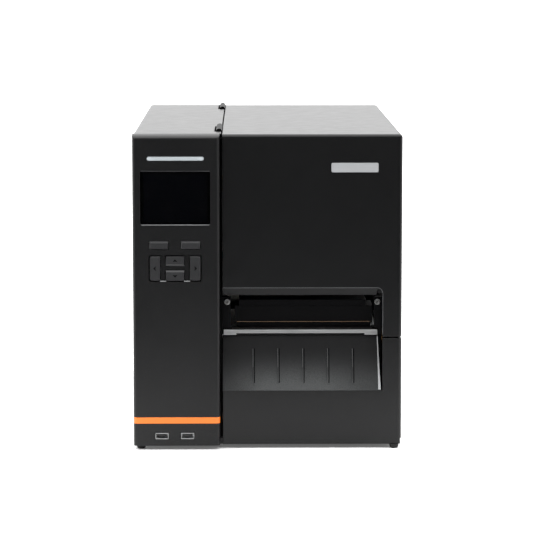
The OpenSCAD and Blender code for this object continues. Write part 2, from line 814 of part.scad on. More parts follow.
// A knurled knob that screws down on the head's spring
module pressure_knob(x) {
    grips = 12;
    base_z = carrier_z[1] + spring_h;
    color([0.1, 0.45, 0.5]) translate([x, knob_y, base_z]) difference() {
        cylinder(r = knob_r, h = knob_h);
        translate([0, 0, -over]) cylinder(r = 2.5 + run_gap, h = knob_h - 3);
        for (i = [0:grips - 1]) rotate(360 * i / grips)
            translate([knob_r + 0.4, 0, 2]) cylinder(r = 1.2, h = knob_h);
    }
}

module pressure_knob_left() {
    pressure_knob(knob_x[0]);
}

module pressure_knob_right() {
    pressure_knob(knob_x[1]);
}

module head_lever() {
    hub_x = [frame_right + 2, frame_right + 9];
    arm_end = lever_pivot + [-62, 14];
    color([0.1, 0.45, 0.5]) {
        prism_x(hub_x) {
            translate(lever_pivot) circle(10);
            translate(arm_end) circle(6);
            polygon([lever_pivot + [-4, 9], lever_pivot + [-4, -9], arm_end + [-2, -5],
                     arm_end + [-2, 5]]);
        }
        rod_x([frame_right + 0.5, lug_x[1] + lug_t + 2], lever_pivot, pivot_r);
        rod_x([hub_x[1], hub_x[1] + 16], arm_end, 5);
        for (x = knob_x) rod_x([x - 4, x + 4], lever_pivot + [0, 2], 7);
    }
}

// ---- Media path and ribbon ----

module media_path_plate() {
    y = [platen_at[0] + 12, -82];
    color([0.75, 0.75, 0.76]) difference() {
        block([frame_right + 0.5, y[0], path_z - path_t], [side_plate[0] - 0.5, y[1], path_z]);
        block([frame_right + 46, -134, path_z - path_t - over],
              [frame_right + 118, -129, path_z + over]);
    }
}

module label_sensor() {
    x = [frame_right + 68, frame_right + 92];
    color([0.07, 0.07, 0.08]) difference() {
        block([x[0], -143, path_z - path_t - 14], [x[1], -121, path_z - path_t - 0.4]);
        rod_x([x[0] - over, x[1] + over], sensor_rail_at, sensor_rail_r + run_gap);
    }
}

module media_guide() {
    x = frame_right + 122;
    color([0.1, 0.45, 0.5]) {
        block([x, -122, path_z + 0.3], [x + 3, -86, path_z + 16]);
        block([x, -112, path_z + 0.3], [x + 16, -79, path_z + 4]);
        block([x, -81.6, path_z - path_t - 2], [x + 16, -79, path_z + 4]);
    }
}

module damper_arm() {
    color([0.2, 0.2, 0.21]) {
        for (x = damper_arm_x) prism_x([x, x + 3]) difference() {
            union() {
                translate(damper_at) circle(8);
                translate(damper_roller_at) circle(6);
                polygon([damper_at + [-7, 3], damper_at + [7, -3], damper_roller_at + [5.5, -2],
                         damper_roller_at + [-5.5, 2]]);
            }
            translate(damper_roller_at) circle(2 + run_gap);
        }
        rod_x([frame_left + 1, damper_arm_x[1] + 3], damper_at, damper_shaft_r);
    }
}

module damper_roller() {
    color([0.85, 0.85, 0.83]) {
        rod_x([damper_arm_x[0] + 3.4, damper_arm_x[1] - 0.4], damper_roller_at, 5.5);
        rod_x([damper_arm_x[0] - 1, damper_arm_x[1] + 4], damper_roller_at, 2);
    }
}

module ribbon_guide_bars() {
    color([0.8, 0.8, 0.8]) for (at = [[tear_y + 9, 208], [-112, 196]]) {
        rod_x([frame_right, frame_right + 126], at, 4);
        rod_x([frame_right + 126, frame_right + 128], at, 7);
    }
}

module label_spindle() {
    color([0.14, 0.14, 0.15]) {
        rod_x([frame_right, frame_right + 4], label_at, 32);
        difference() {
            rod_x([frame_right + 4, frame_right + label_len], label_at, spindle_r);
            rod_x([frame_right + 10, frame_right + label_len + over], label_at, spindle_r - 3);
        }
    }
}

module roll_guard() {
    color([0.1, 0.45, 0.5]) difference() {
        union() {
            rod_x([guard_x, guard_x + 4], label_at, guard_r);
            rod_x([guard_x + 4, guard_x + 14], label_at, spindle_r + 5);
        }
        rod_x([guard_x - over, guard_x + 14 + over], label_at, spindle_r + run_gap);
        for (i = [0:5]) rotate_about_x(label_at, 60 * i)
            rod_x([guard_x - over, guard_x + 4 + over], label_at + [35, 0], 6);
    }
}

module rotate_about_x(at, angle) {
    translate([0, at[0], at[1]]) rotate([angle, 0, 0]) translate([0, -at[0], -at[1]]) children();
}

// A ribbon core's driver: a drum with three driving fins on a shaft
module ribbon_driver(at, tail_x) {
    color([0.13, 0.13, 0.14]) {
        rod_x(ribbon_x, at, ribbon_core_r - 2.5);
        rod_x([ribbon_x[0], ribbon_x[0] + 3], at, ribbon_core_r + 9);
        rod_x([tail_x, ribbon_x[0]], at, ribbon_shaft_r);
        for (i = [0:2]) rotate_about_x(at, 120 * i)
            block([ribbon_x[0] + 3, at[0] - 2, at[1]],
                  [ribbon_x[1] - 8, at[0] + 2, at[1] + ribbon_core_r]);
    }
}

module rewind_spindle() {
    ribbon_driver(rewind_at, gear_x[0] - 1);
}

module supply_spindle() {
    ribbon_driver(supply_at, frame_left - 14);
    color([0.72, 0.56, 0.3]) rod_x([frame_left - 12, frame_left - 2], supply_at, 16);
}

module rewind_gear() {
    color([0.85, 0.84, 0.8]) gear(gear_x, rewind_at, rewind_teeth, 0, ribbon_shaft_r);
}

module ribbon_pinion() {
    color([0.75, 0.6, 0.35]) {
        gear(gear_x, ribbon_motor_at, pinion_teeth, 180 / pinion_teeth);
        rod_x([motor_face_x - 5, gear_x[0]], ribbon_motor_at, 3);
    }
}

// ---- Media cover ----

module media_cover() {
    side_x = [right_x - shell_t, right_x];
    side_front = front_y + 36.7;
    outer = [media_left, media_front];
    color([0.12, 0.12, 0.13]) {
        difference() {
            intersection() {
                prism_x([media_left, right_x]) difference() {
                    union() {
                        rect([media_front, seam_z + seam_gap], [cover_back, casing_h]);
                        rect([side_front, pan_top + 0.5], [cover_back, casing_h]);
                    }
                    corner_waste([media_front, casing_h], [1, -1], corner_r);
                }
                prism_z([pan_top, casing_h]) difference() {
                    rect(outer, [right_x, cover_back]);
                    corner_waste([right_x, media_front], [-1, 1], corner_r);
                }
                prism_y([media_front, cover_back]) difference() {
                    rect([media_left, pan_top], [right_x, casing_h]);
                    corner_waste([right_x, casing_h], [-1, -1], corner_r);
                }
            }
            block([media_left - over, pan_front, pan_top],
                  [side_x[0], cover_back + over, casing_h - shell_t]);
            prism_y([media_front - over, pan_front + over]) difference() {
                rect([media_left - over, pan_top], [mouth_right, mouth_top]);
                corner_waste([mouth_right, mouth_top], [-1, -1], 6);
            }
            prism_x([side_x[0] - over, side_x[1] + over]) {
                round_rect(window_at - [window_w, window_h] / 2,
                           window_at + [window_w, window_h] / 2, 10);
                round_rect([grip_y[0], grip_z[0]], [grip_y[1], grip_z[1]], 6);
            }
        }
        prism_x([media_left, mouth_right - 6])
            polygon([[media_front + 0.1, mouth_top], [pan_front, mouth_top],
                     [pan_front, mouth_top + 4], [media_front + mouth_bevel, mouth_top + 4],
                     [media_front + mouth_bevel, mouth_top - 8.2]]);
    }
}

module cover_window() {
    half = [window_w, window_h] / 2 + [window_lap, window_lap];
    color([0.2, 0.22, 0.24, 0.5]) prism_x([right_x - shell_t - 2, right_x - shell_t])
        round_rect(window_at - half, window_at + half, 12);
}

module cover_grip() {
    lap = 3;
    cup_x = [right_x - shell_t - grip_depth, right_x - shell_t];
    color([0.08, 0.08, 0.08]) difference() {
        prism_x(cup_x) round_rect([grip_y[0] - lap, grip_z[0] - lap],
                                  [grip_y[1] + lap, grip_z[1] + lap], 6);
        prism_x([cup_x[0] + 2, cup_x[1] + over])
            round_rect([grip_y[0], grip_z[0]], [grip_y[1], grip_z[1]], 6);
    }
}

module nameplate() {
    at = [media_left + 135.4, 290.7];
    half = [24, 4.8];
    color([0.8, 0.81, 0.82]) prism_y([media_front - 0.6, media_front])
        round_rect(at - half, at + half, 1.5);
}

// ---- Hinges and fasteners ----

function knuckle_y(start, i) =
    [start + i * (knuckle_len + knuckle_gap), start + i * (knuckle_len + knuckle_gap) + knuckle_len];

module knuckle_bore(start) {
    rod_y([start - over, start + hinge_len + over], [hinge_x, hinge_z], hinge_pin_r + run_gap);
}

module fixed_hinge_leaves() {
    web = 1.5;
    color([0.1, 0.1, 0.1]) for (start = hinge_y) difference() {
        for (i = [0:2:knuckles - 1]) {
            y = knuckle_y(start, i);
            rod_y(y, [hinge_x, hinge_z], hinge_r);
            block([hinge_x - web, y[0], frame_top], [hinge_x + web, y[1], hinge_z]);
        }
        knuckle_bore(start);
    }
}

module moving_hinge_leaves() {
    top = casing_h - shell_t;
    color([0.1, 0.1, 0.1]) for (start = hinge_y) difference() {
        union() {
            for (i = [1:2:knuckles - 1]) {
                y = knuckle_y(start, i);
                rod_y(y, [hinge_x, hinge_z], hinge_r);
                block([hinge_x - 0.7, y[0], top - leaf_t], [media_left + over, y[1], top]);
            }
            block([media_left, start, top - leaf_t], [media_left + 18, start + hinge_len, top]);
        }
        knuckle_bore(start);
    }
}

module hinge_pins() {
    color([0.2, 0.2, 0.21]) for (start = hinge_y)
        rod_y([start - 0.2, start + hinge_len + 0.2], [hinge_x, hinge_z], hinge_pin_r);
}

// A pan-head screw along Y with a hexagonal socket; out is the side its head is on
module screw(x, y, z, out, length) {
    translate([x, y, z]) rotate([out > 0 ? -90 : 90, 0, 0]) {
        difference() {
            cylinder(r = 3, h = 1.8);
            translate([0, 0, 0.8]) cylinder(r = 1.4, h = 2, $fn = 6);
        }
        translate([0, 0, -length]) cylinder(r = 1.5, h = length + 0.5);
    }
}

module screws() {
    color([0.75, 0.75, 0.76]) {
        for (p = rear_screws) screw(p[0], plate_y + plate_t, p[1], 1, 3.5);
        for (x = bar_screw_x) screw(x, cheek_y, bar_screw_z, -1, 5);
    }
}

// ---- Keys ----

// A key that fills its hole in the bezel, with a chamfered face
module key(k, face_y) {
    chamfer = 0.8;
    back = front_y + key_depth;
    function outline(lo, hi) = [
        [lo, back], [hi, back], [hi, face_y + chamfer], [hi - chamfer, face_y],
        [lo + chamfer, face_y], [lo, face_y + chamfer]
    ];
    color([0.13, 0.13, 0.14]) intersection() {
        prism_z([k[0][1], k[1][1]]) polygon(outline(k[0][0], k[1][0]));
        prism_x([k[0][0], k[1][0]]) polygon([for (p = outline(k[0][1], k[1][1])) [p[1], p[0]]]);
    }
}

module soft_key_left() {
    key(soft_left, key_face_y);
}

module soft_key_right() {
    key(soft_right, key_face_y);
}

module up_key() {
    key(pad_up, key_face_y + 0.6);
}

module down_key() {
    key(pad_down, key_face_y + 0.6);
}

module left_key() {
    key(pad_left, key_face_y + 0.6);
}

module right_key() {
    key(pad_right, key_face_y + 0.6);
}

base_pan();
rubber_feet();
centre_frame();
tower_cover();
front_bezel();
accent_stripe();
indicator_bar();
display_module();
control_board();
usb_host_ports();
lower_front_panel();
exit_chute();
tear_bar();
rear_panel();
power_inlet();
rear_ports();
main_board();
power_supply();
print_motor();
ribbon_motor();
mechanism_base();
head_bridge();
shaft_bushes();
media_path_plate();
ribbon_guide_bars();
label_spindle();
fixed_hinge_leaves();
hinge_pins();
screws();
media_cover();
cover_window();
cover_grip();
nameplate();
moving_hinge_leaves();
head_carrier();
thermal_head();
head_springs();
pressure_knob_left();
pressure_knob_right();
head_lever();
platen_roller();
platen_shaft();
platen_gear();
motor_pinion();
rewind_spindle();
rewind_gear();
ribbon_pinion();
supply_spindle();
label_sensor();
roll_guard();
damper_arm();
damper_roller();
media_guide();
power_switch();
soft_key_left();
soft_key_right();
up_key();
down_key();
left_key();
right_key();
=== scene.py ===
"""Dresses the CAD frame of a label printer with finished pieces, materials and light."""

import json
import math

import bmesh
import bpy
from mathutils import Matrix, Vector


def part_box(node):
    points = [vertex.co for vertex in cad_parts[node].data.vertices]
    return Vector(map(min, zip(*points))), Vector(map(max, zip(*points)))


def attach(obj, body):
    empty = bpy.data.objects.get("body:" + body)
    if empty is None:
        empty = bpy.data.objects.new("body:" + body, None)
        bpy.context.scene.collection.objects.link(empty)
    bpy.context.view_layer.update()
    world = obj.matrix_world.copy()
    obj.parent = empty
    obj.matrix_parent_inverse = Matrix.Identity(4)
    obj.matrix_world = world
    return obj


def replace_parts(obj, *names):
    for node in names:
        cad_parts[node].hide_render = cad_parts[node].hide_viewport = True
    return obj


bl_info = {
    "name": "Industrial label printer",
    "version": (1, 0, 0),
    "blender": (4, 5, 0),
    "location": "3D View > Sidebar > Label printer",
    "description": "Builds the finished pieces of a benchtop label printer round its CAD frame",
    "category": "Object",
}

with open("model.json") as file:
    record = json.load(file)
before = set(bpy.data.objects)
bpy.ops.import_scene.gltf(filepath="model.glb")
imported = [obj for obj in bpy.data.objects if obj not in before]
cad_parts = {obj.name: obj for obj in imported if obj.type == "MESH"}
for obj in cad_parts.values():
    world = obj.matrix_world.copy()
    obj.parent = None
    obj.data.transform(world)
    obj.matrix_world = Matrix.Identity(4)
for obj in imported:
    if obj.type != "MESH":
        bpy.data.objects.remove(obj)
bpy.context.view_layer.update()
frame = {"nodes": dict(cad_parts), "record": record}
MM = 0.001
BODY_OF = {
    node: body
    for body, nodes in frame["record"]["behaviour"]["bodies"].items()
    for node in nodes
}
SLOT_OF = {part["node"]: part["material_slot"] for part in frame["record"]["subparts"]}
SHARP = math.radians(35)

# Lines of the frame that the added pieces follow, in millimetres.
EXIT_CORNER = (112.1, 160.9)
CHUTE_FOOT = (-244.6, 62.1)
CHUTE_LEAN = 0.2801
QUARTER = [(math.sin(turn), math.cos(turn)) for turn in (math.radians(7.5 * i) for i in range(13))]


# ---- Settings ----


def colour_setting(name, description, default):
    """A colour that the panel shows, with no transparency."""
    return bpy.props.FloatVectorProperty(
        name=name, description=description, default=default, size=3, min=0, max=1, subtype="COLOR"
    )


def share_setting(name, description, default, high=1.0, unit="NONE"):
    """A plain number that the panel shows, such as a roughness."""
    return bpy.props.FloatProperty(
        name=name, description=description, default=default, min=0, max=high, unit=unit
    )


def length_setting(name, description, default, high=0.01):
    """A length in metres that the panel shows."""
    return share_setting(name, description, default, high, "LENGTH")


class PrinterColours(bpy.types.PropertyGroup):
    """Colours and gloss of the printer's finishes."""

    casing: colour_setting("Casing", "Moulded front and painted covers", (0.0046, 0.0047, 0.0051))
    keys: colour_setting("Keys", "Soft keys and the four-way pad", (0.017, 0.0172, 0.0185))
    stripe: colour_setting("Stripe", "Band round the foot of the tower", (0.88, 0.2, 0.016))
    touch: colour_setting("Touch points", "Parts a user turns or slides", (0.012, 0.2, 0.235))
    lamp: colour_setting("Status lamp", "Light guide above the display", (0.31, 0.345, 0.36))
    casing_gloss: share_setting("Casing roughness", "Roughness of the front and covers", 0.36)
    grain: length_setting("Grain", "Size of the moulded grain", 0.0007)


class PrinterSizes(bpy.types.PropertyGroup):
    """Small sizes that the finished pieces add to the frame."""

    edge: length_setting("Edge", "Rounding of the casing's edges", 0.00055)
    fine_edge: length_setting("Fine edge", "Rounding of small parts' edges", 0.0002)
    # This width sets the painted highlight and painted shadow strips on the chute's ribs.
    rib: length_setting("Chute rib", "Width of the chute's ribs", 0.0014)
    tooth: length_setting("Tear tooth", "Spacing of the tear bar's teeth", 0.0012)
    screw: length_setting("Screw head", "Radius of the screw heads", 0.003)
    wire: length_setting("Spring wire", "Radius of the head springs' wire", 0.0006)
    bead: length_setting("Window bead", "Radius of the bead round the window", 0.0009)


class PrinterStage(bpy.types.PropertyGroup):
    """Floor, light and camera."""

    floor: colour_setting("Floor", "Colour of the floor", (0.93, 0.93, 0.93))
    back_light: share_setting("Back light", "Strength of the light behind and beside", 2.05, 10)
    front_light: share_setting("Front light", "Strength of the light from the front", 0.03, 10)
    top_light: share_setting("Top light", "How much stronger the light overhead is", 0.7, 10)
    shade_start: length_setting("Shade start", "Where the dark floor shade begins", 0.6, 5)
    lens: share_setting("Lens", "Focal length in millimetres", 163.9, 500)


# ---- Node trees ----


class Value:
    """A number in a node tree that can change over a surface; arithmetic on it adds its nodes."""

    def __init__(self, nodes, socket):
        self.nodes = nodes
        self.socket = socket

    def _maths(self, operation, other=0.0):
        node = self.nodes.node("ShaderNodeMath", {"operation": operation}, {0: self, 1: other})
        return Value(self.nodes, node.outputs[0])

    def __add__(self, other):
        return self._maths("ADD", other)

    def __mul__(self, other):
        return self._maths("MULTIPLY", other)

    def __lt__(self, other):
        return self._maths("LESS_THAN", other)

    def __abs__(self):
        return self._maths("ABSOLUTE")

    def stretch(self, low, high, to_low=0.0, to_high=1.0):
        """This value with low..high mapped smoothly to to_low..to_high."""
        node = self.nodes.node(
            "ShaderNodeMapRange",
            {"interpolation_type": "SMOOTHSTEP"},
            {"Value": self, "From Min": low, "From Max": high, "To Min": to_low, "To Max": to_high},
        )
        return Value(self.nodes, node.outputs[0])


class Nodes:
    """A node tree in the making."""

    def __init__(self, tree):
        self.tree = tree

    def node(self, kind, settings=None, values=None):
        """Adds a node: its settings first, then the values or links of its sockets."""
        node = self.tree.nodes.new(kind)
        for key, value in (settings or {}).items():
            setattr(node, key, value)
        for key, value in (values or {}).items():
            self.feed(node.inputs[key], value)
        return node

    def feed(self, socket, value):
        """Links or sets one socket."""
        if isinstance(value, Value):
            value = value.socket
        if isinstance(value, bpy.types.NodeSocket):
            self.tree.links.new(value, socket)
        else:
            socket.default_value = value


class Finish(Nodes):
    """A material in the making; patterns are laid out in millimetres on the piece itself."""

    def __init__(self, name):
        self.material = bpy.data.materials.new(name)
        self.material.use_nodes = True
        super().__init__(self.material.node_tree)
        self.shader = self.tree.nodes["Principled BSDF"]
        self.where = self.node("ShaderNodeTexCoord").outputs["Object"]

    def set(self, **values):
        """Sets or links sockets of the surface shader, named with _ for a space."""
        for key, value in values.items():
            self.feed(self.shader.inputs[key.replace("_", " ")], value)

    def grid(self, stretch=(1, 1, 1), centre=(0, 0, 0)):
        """The place on the piece in millimetres, squeezed along the axes by stretch."""
        scale = tuple(1000 * s for s in stretch)
        shift = tuple(-1000 * s * c for s, c in zip(stretch, centre))
        values = {"Vector": self.where, "Location": shift, "Scale": scale}
        return self.node("ShaderNodeMapping", {}, values).outputs[0]

    def noise(self, size, detail=2.0, stretch=(1, 1, 1)):
        """Soft random variation, with blobs of about size millimetres."""
        values = {"Vector": self.grid(stretch), "Scale": 1 / size, "Detail": detail}
        return Value(self, self.node("ShaderNodeTexNoise", {}, values).outputs[0])

    def cells(self, size):
        """Distance to scattered points about size millimetres apart."""
        values = {"Vector": self.grid(), "Scale": 1 / size}
        return Value(self, self.node("ShaderNodeTexVoronoi", {}, values).outputs["Distance"])

    def axis(self, name, centre=(0, 0, 0)):
        """One coordinate in millimetres: X, Y or Z."""
        node = self.node("ShaderNodeSeparateXYZ", {}, {0: self.grid(centre=centre)})
        return Value(self, node.outputs[name])

    def between(self, share, first, second):
        """A colour that goes from first to second as share goes from 0 to 1."""
        node = self.node(
            "ShaderNodeMix", {"data_type": "RGBA"}, {0: share, 6: shade(first), 7: shade(second)}
        )
        return node.outputs[2]

    def bumps(self, height, depth):
        """Raises the surface by height, 0 to 1, times depth in metres, and gives the material."""
        values = {"Height": height, "Distance": depth, "Strength": 1.0}
        self.set(Normal=self.node("ShaderNodeBump", {}, values).outputs[0])
        return self.material


def shade(colour, factor=1.0):
    """A colour with full alpha, lightened or darkened; a link passes through."""
    if isinstance(colour, bpy.types.NodeSocket):
        return colour
    return tuple(min(1, c * factor) for c in colour[:3]) + (1.0,)


def moulded(name, colour, roughness, grain, depth=0.00004, mottle=0.12, gloss=0.5, worn=0.1):
    """Moulded plastic: spark-eroded grain, faint flow mottling and handling gloss."""
    finish = Finish(name)
    grain_mm = grain / MM
    pits = finish.cells(grain_mm) * 0.6 + finish.noise(grain_mm * 0.7, 3) * 0.8
    cloud = finish.noise(38, 3)
    rub = finish.noise(120, 2).stretch(0.35, 0.75)
    dust = finish.noise(1.1, 2).stretch(0.62, 0.8)
    base = finish.between(cloud, shade(colour, 1 - mottle), shade(colour, 1 + mottle))
    finish.set(
        Base_Color=finish.between(dust * worn, base, (0.09, 0.09, 0.09)),
        Roughness=finish.noise(9, 3) * 0.07 + rub * -0.035 + (roughness - 0.02),
        Specular_IOR_Level=gloss,
    )
    return finish.bumps(pits, depth)


def grey_and_painted_light(name, low, high, dark, light):
    """Grained chute plastic, its colour painted lighter towards its foot and darker high up and
    towards its left end, where the cover above and the tower beside it cast shade, and darker
    towards its right end.
    """
    finish = Finish(name)
    middle = (low + high) / 2
    half = (high - low) * 0.5 / MM
    # Painted shade and light: the next three masks darken the chute high up under the cover, at its
    # left end beside the tower and towards its right end.
    down = finish.axis("Z", tuple(middle)).stretch(-half.z, half.z * 0.9, 1.0, 0.0)
    side = finish.axis("X", tuple(middle)).stretch(-half.x, -half.x * 0.35, 0.35, 1.0)
    far = finish.axis("X", tuple(middle)).stretch(half.x * 0.1, half.x, 1.0, 0.45)
    grains = finish.cells(0.9) * 0.6 + finish.noise(0.6, 3) * 0.8
    speckle = finish.noise(0.9, 3).stretch(0.3, 0.7, 0.8, 1.2)
    finish.set(
        # The speckle is the plastic's own; the rest of this colour mix is painted light and shade.
        Base_Color=finish.between(down * down * side * far * speckle, shade(dark), shade(light)),
        Roughness=grains * 0.1 + 0.45,
        Specular_IOR_Level=0.25,
    )
    return finish.bumps(grains, 0.00009)


def painted(name, colour, roughness, peel=2.2, depth=0.00006):
    """Powder-coated sheet: orange peel over fine tooth, with slight gloss changes."""
    finish = Finish(name)
    skin = finish.noise(peel, 2) * 0.75 + finish.noise(0.5, 2) * 0.25
    cloud = finish.noise(60, 3)
    speck = finish.noise(0.8, 1).stretch(0.68, 0.82)
    base = finish.between(cloud, shade(colour, 0.9), shade(colour, 1.1))
    finish.set(
        Base_Color=finish.between(speck * 0.12, base, (0.1, 0.1, 0.105)),
        Roughness=finish.noise(14, 3) * 0.08 + (roughness - 0.04),
        Specular_IOR_Level=0.32,
    )
    return finish.bumps(skin, depth)


def brushed(name, colour, roughness, along=(1, 1, 1), metallic=1.0, gloss=0.5):
    """Metal with fine drawn lines; along is small on the axis the lines run in."""
    finish = Finish(name)
    lines = finish.noise(0.35, 3, along)
    stain = finish.noise(22, 3)
    base = finish.between(stain, shade(colour, 0.86), shade(colour, 1.06))
    finish.set(
        Base_Color=finish.between(lines * 0.35, base, shade(colour, 0.6)),
        Metallic=metallic,
        Roughness=lines * 0.16 + stain * 0.08 + (roughness - 0.1),
        Specular_IOR_Level=gloss,
    )
    return finish.bumps(lines, 0.00002)


def cast(name, colour, roughness):
    """Die-cast alloy: dull, faintly pitted and blotched."""
    finish = Finish(name)
    pits = finish.cells(1.6).stretch(0.05, 0.5)
    stain = finish.noise(16, 4)
    finish.set(
        Base_Color=finish.between(stain, shade(colour, 0.75), shade(colour, 1.1)),
        Metallic=0.9,
        Roughness=stain * 0.15 + (roughness - 0.05),
    )
    return finish.bumps(pits * 0.5 + finish.noise(0.6, 3) * 0.5, 0.00005)


def rubber(name, colour, roughness):
    """Ground rubber with a dusty bloom."""
    finish = Finish(name)
    tooth = finish.noise(0.4, 3)
    bloom = finish.noise(7, 3).stretch(0.5, 0.8)
    finish.set(
        Base_Color=finish.between(bloom * 0.35, shade(colour), (0.06, 0.06, 0.06)),
        Roughness=tooth * 0.1 + (roughness - 0.05),
        Specular_IOR_Level=0.35,
    )
    return finish.bumps(tooth, 0.00006)


def board(name):
    """Circuit board: solder mask over a maze of traces, with bare pads."""
    finish = Finish(name)
    runs = finish.noise(2.6, 1).stretch(0.48, 0.52)
    pads = finish.cells(4.5) < 0.13
    mask = finish.between(runs, (0.004, 0.06, 0.025), (0.008, 0.11, 0.045))
    finish.set(
        Base_Color=finish.between(pads, mask, (0.75, 0.72, 0.6)),
        Metallic=pads * 0.9,
        Roughness=runs * 0.1 + 0.32,
    )
    return finish.bumps(runs * 0.5 + pads * 0.5, 0.00008)


def bronze(name):
    """Sintered bronze, oil stained."""
    finish = Finish(name)
    stain = finish.noise(3.0, 4)
    finish.set(
        Base_Color=finish.between(stain, (0.07, 0.04, 0.016), (0.2, 0.12, 0.05)),
        Metallic=1.0,
        Roughness=stain * 0.2 + 0.3,
    )
    return finish.bumps(finish.noise(0.3, 2), 0.00003)


def screen(name, centre, half_width, half_height):
    """Switched-off display under glass: the live area is a shade bluer than its border."""
    finish = Finish(name)
    across = abs(finish.axis("X", centre)) < half_width
    up = abs(finish.axis("Z", centre)) < half_height
    smear = finish.noise(18, 4).stretch(0.45, 0.8)
    border, live = (0.0006, 0.0006, 0.0007), (0.001, 0.0011, 0.0016)
    finish.set(
        Base_Color=finish.between(across * up, border, live),
        Roughness=smear * 0.09 + 0.09,
        Specular_IOR_Level=0.2,
    )
    return finish.bumps(smear, 0.00001)


def light_guide(name, colour, centre, half_length):
    """Frosted light guide, lit from inside and a little dimmer towards its ends."""
    finish = Finish(name)
    ends = abs(finish.axis("X", centre)).stretch(half_length * 0.7, half_length, 1.0, 0.78)
    glow = finish.noise(5, 2) * 0.06 + ends * 0.97
    lit = finish.between(glow, (0.5, 0.52, 0.55), shade(colour))
    finish.set(
        Base_Color=lit,
        Emission_Color=lit,
        Emission_Strength=0.12,
        Roughness=finish.noise(1.2, 2) * 0.1 + 0.32,
    )
    return finish.bumps(finish.noise(0.6, 2), 0.00002)


def smoked(name):
    """Smoked clear plastic with faint wiping marks."""
    finish = Finish(name)
    wipe = finish.noise(11, 3, (1, 0.12, 1))
    finish.set(
        Base_Color=finish.between(wipe, (0.006, 0.006, 0.0065), (0.011, 0.011, 0.012)),
        Alpha=wipe * 0.05 + 0.5,
        Roughness=wipe * 0.06 + 0.03,
        Specular_IOR_Level=0.6,
    )
    return finish.bumps(wipe, 0.000008)


def make_finishes(colours):
    """Every material of the printer, by the slot of the record it belongs to."""
    dark = colours.casing
    low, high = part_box("display_module")
    lamp_low, lamp_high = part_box("indicator_bar")
    lamp = (lamp_low + lamp_high) / 2
    return {
        "grained_plastic": moulded(
            "charcoal front moulding", dark, colours.casing_gloss, colours.grain, gloss=0.33
        ),
        "black_sheet": painted("black painted sheet", dark, colours.casing_gloss),
        "black_plastic": moulded(
            "black nylon moulding", shade(dark, 1.1), 0.4, 0.0011, 0.00005, 0.2, 0.33
        ),
        # The chute's colour carries painted shade high up and at its ends, and painted light at its
        # foot.
        "chute": grey_and_painted_light(
            "textured chute moulding", *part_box("exit_chute"), shade(dark, 1.1),
            (0.06, 0.0625, 0.063),
        ),
        # A lighter grey that paints the highlight on the chute's rib crests.
        "chute_rib": moulded("polished rib", (0.045, 0.046, 0.047), 0.4, 0.0009),
        "keys": moulded("key moulding", colours.keys, 0.4, 0.0005, 0.00003),
        "gloss_black_plastic": moulded(
            "gloss black moulding", shade(dark, 0.8), 0.2, 0.002, 0.000006
        ),
        "orange_plastic": moulded("orange moulding", colours.stripe, 0.36, 0.0009, 0.00002, 0.03),
        "light_guide": light_guide(
            "frosted light guide", colours.lamp, tuple(lamp), (lamp_high.x - lamp.x) / MM
        ),
        "display_glass": screen("display glass", tuple((low + high) / 2), 32.4, 24.6),
        "circuit_board": board("green circuit board"),
        "bright_steel": brushed("bright plated steel", (0.62, 0.63, 0.63), 0.3, (0.02, 1, 1)),
        "bright_screw": brushed("plated screw", (0.6, 0.6, 0.59), 0.28, (1, 1, 1)),
        "dark_metal": brushed(
            "blackened steel", (0.004, 0.004, 0.0045), 0.5, (0.2, 1, 0.2), 0.2, 0.06
        ),
        "cast_alloy": cast("cast alloy", (0.36, 0.365, 0.37), 0.5),
        "bronze": bronze("sintered bronze"),
        "black_rubber": rubber("black rubber", (0.009, 0.009, 0.009), 0.7),
        "gear_plastic": moulded(
            "natural gear nylon", (0.62, 0.6, 0.53), 0.45, 0.0012, 0.00002, 0.05
        ),
        "touch_plastic": moulded("blue-green moulding", colours.touch, 0.42, 0.0009, 0.00003, 0.08),
        "smoked_window": smoked("smoked window"),
        "plain_plate": brushed("satin plate", (0.4, 0.41, 0.42), 0.4, (0.03, 1, 1), 0.25),
        # Lighter greys for thin strips that paint edge highlights on the casing; the dim one also
        # colours the front screw heads.
        "edge_light": brushed("polished edge", (0.42, 0.43, 0.435), 0.35, (1, 1, 0.03), 0.2),
        "edge_dim": brushed("rubbed edge", (0.105, 0.108, 0.112), 0.4, (0.03, 1, 1), 0.1),
        "edge_mid": brushed("bright rim", (0.3, 0.31, 0.315), 0.4, (0.03, 1, 1), 0.1),
        # Near-black print for the key arrows; the same finish paints the shadow beside the chute's
        # ribs and the shade in the gap between tower and cover.
        "print_and_painted_shade": moulded(
            "black print", (0.0006, 0.0006, 0.0007), 0.7, 0.001, 0.00001, gloss=0.05, worn=0.0
        ),
        "ceramic": moulded("glazed ceramic", (0.24, 0.15, 0.08), 0.3, 0.002, 0.00001, 0.1),
        "socket_dark": moulded("socket insulator", (0.006, 0.006, 0.007), 0.5, 0.001, 0.00002),
    }


FINISHES = {}


# ---- Meshes ----


def cad_mesh(node):
    """A copy of a CAD node's mesh, merged and with its flat faces whole."""
    copy = bmesh.new()
    copy.from_mesh(frame["nodes"][node].data)
    bmesh.ops.remove_doubles(copy, verts=copy.verts, dist=2e-6)
    bmesh.ops.dissolve_limit(
        copy, angle_limit=math.radians(0.6), verts=copy.verts, edges=copy.edges
    )
    return copy


def mesh_of(name, shape):
    """A mesh from a bmesh, which is freed."""
    mesh = bpy.data.meshes.new(name)
    shape.to_mesh(mesh)
    shape.free()
    return mesh


def in_scene(name, data):
    """A new object in the scene."""
    item = bpy.data.objects.new(name, data)
    bpy.context.scene.collection.objects.link(item)
    return item


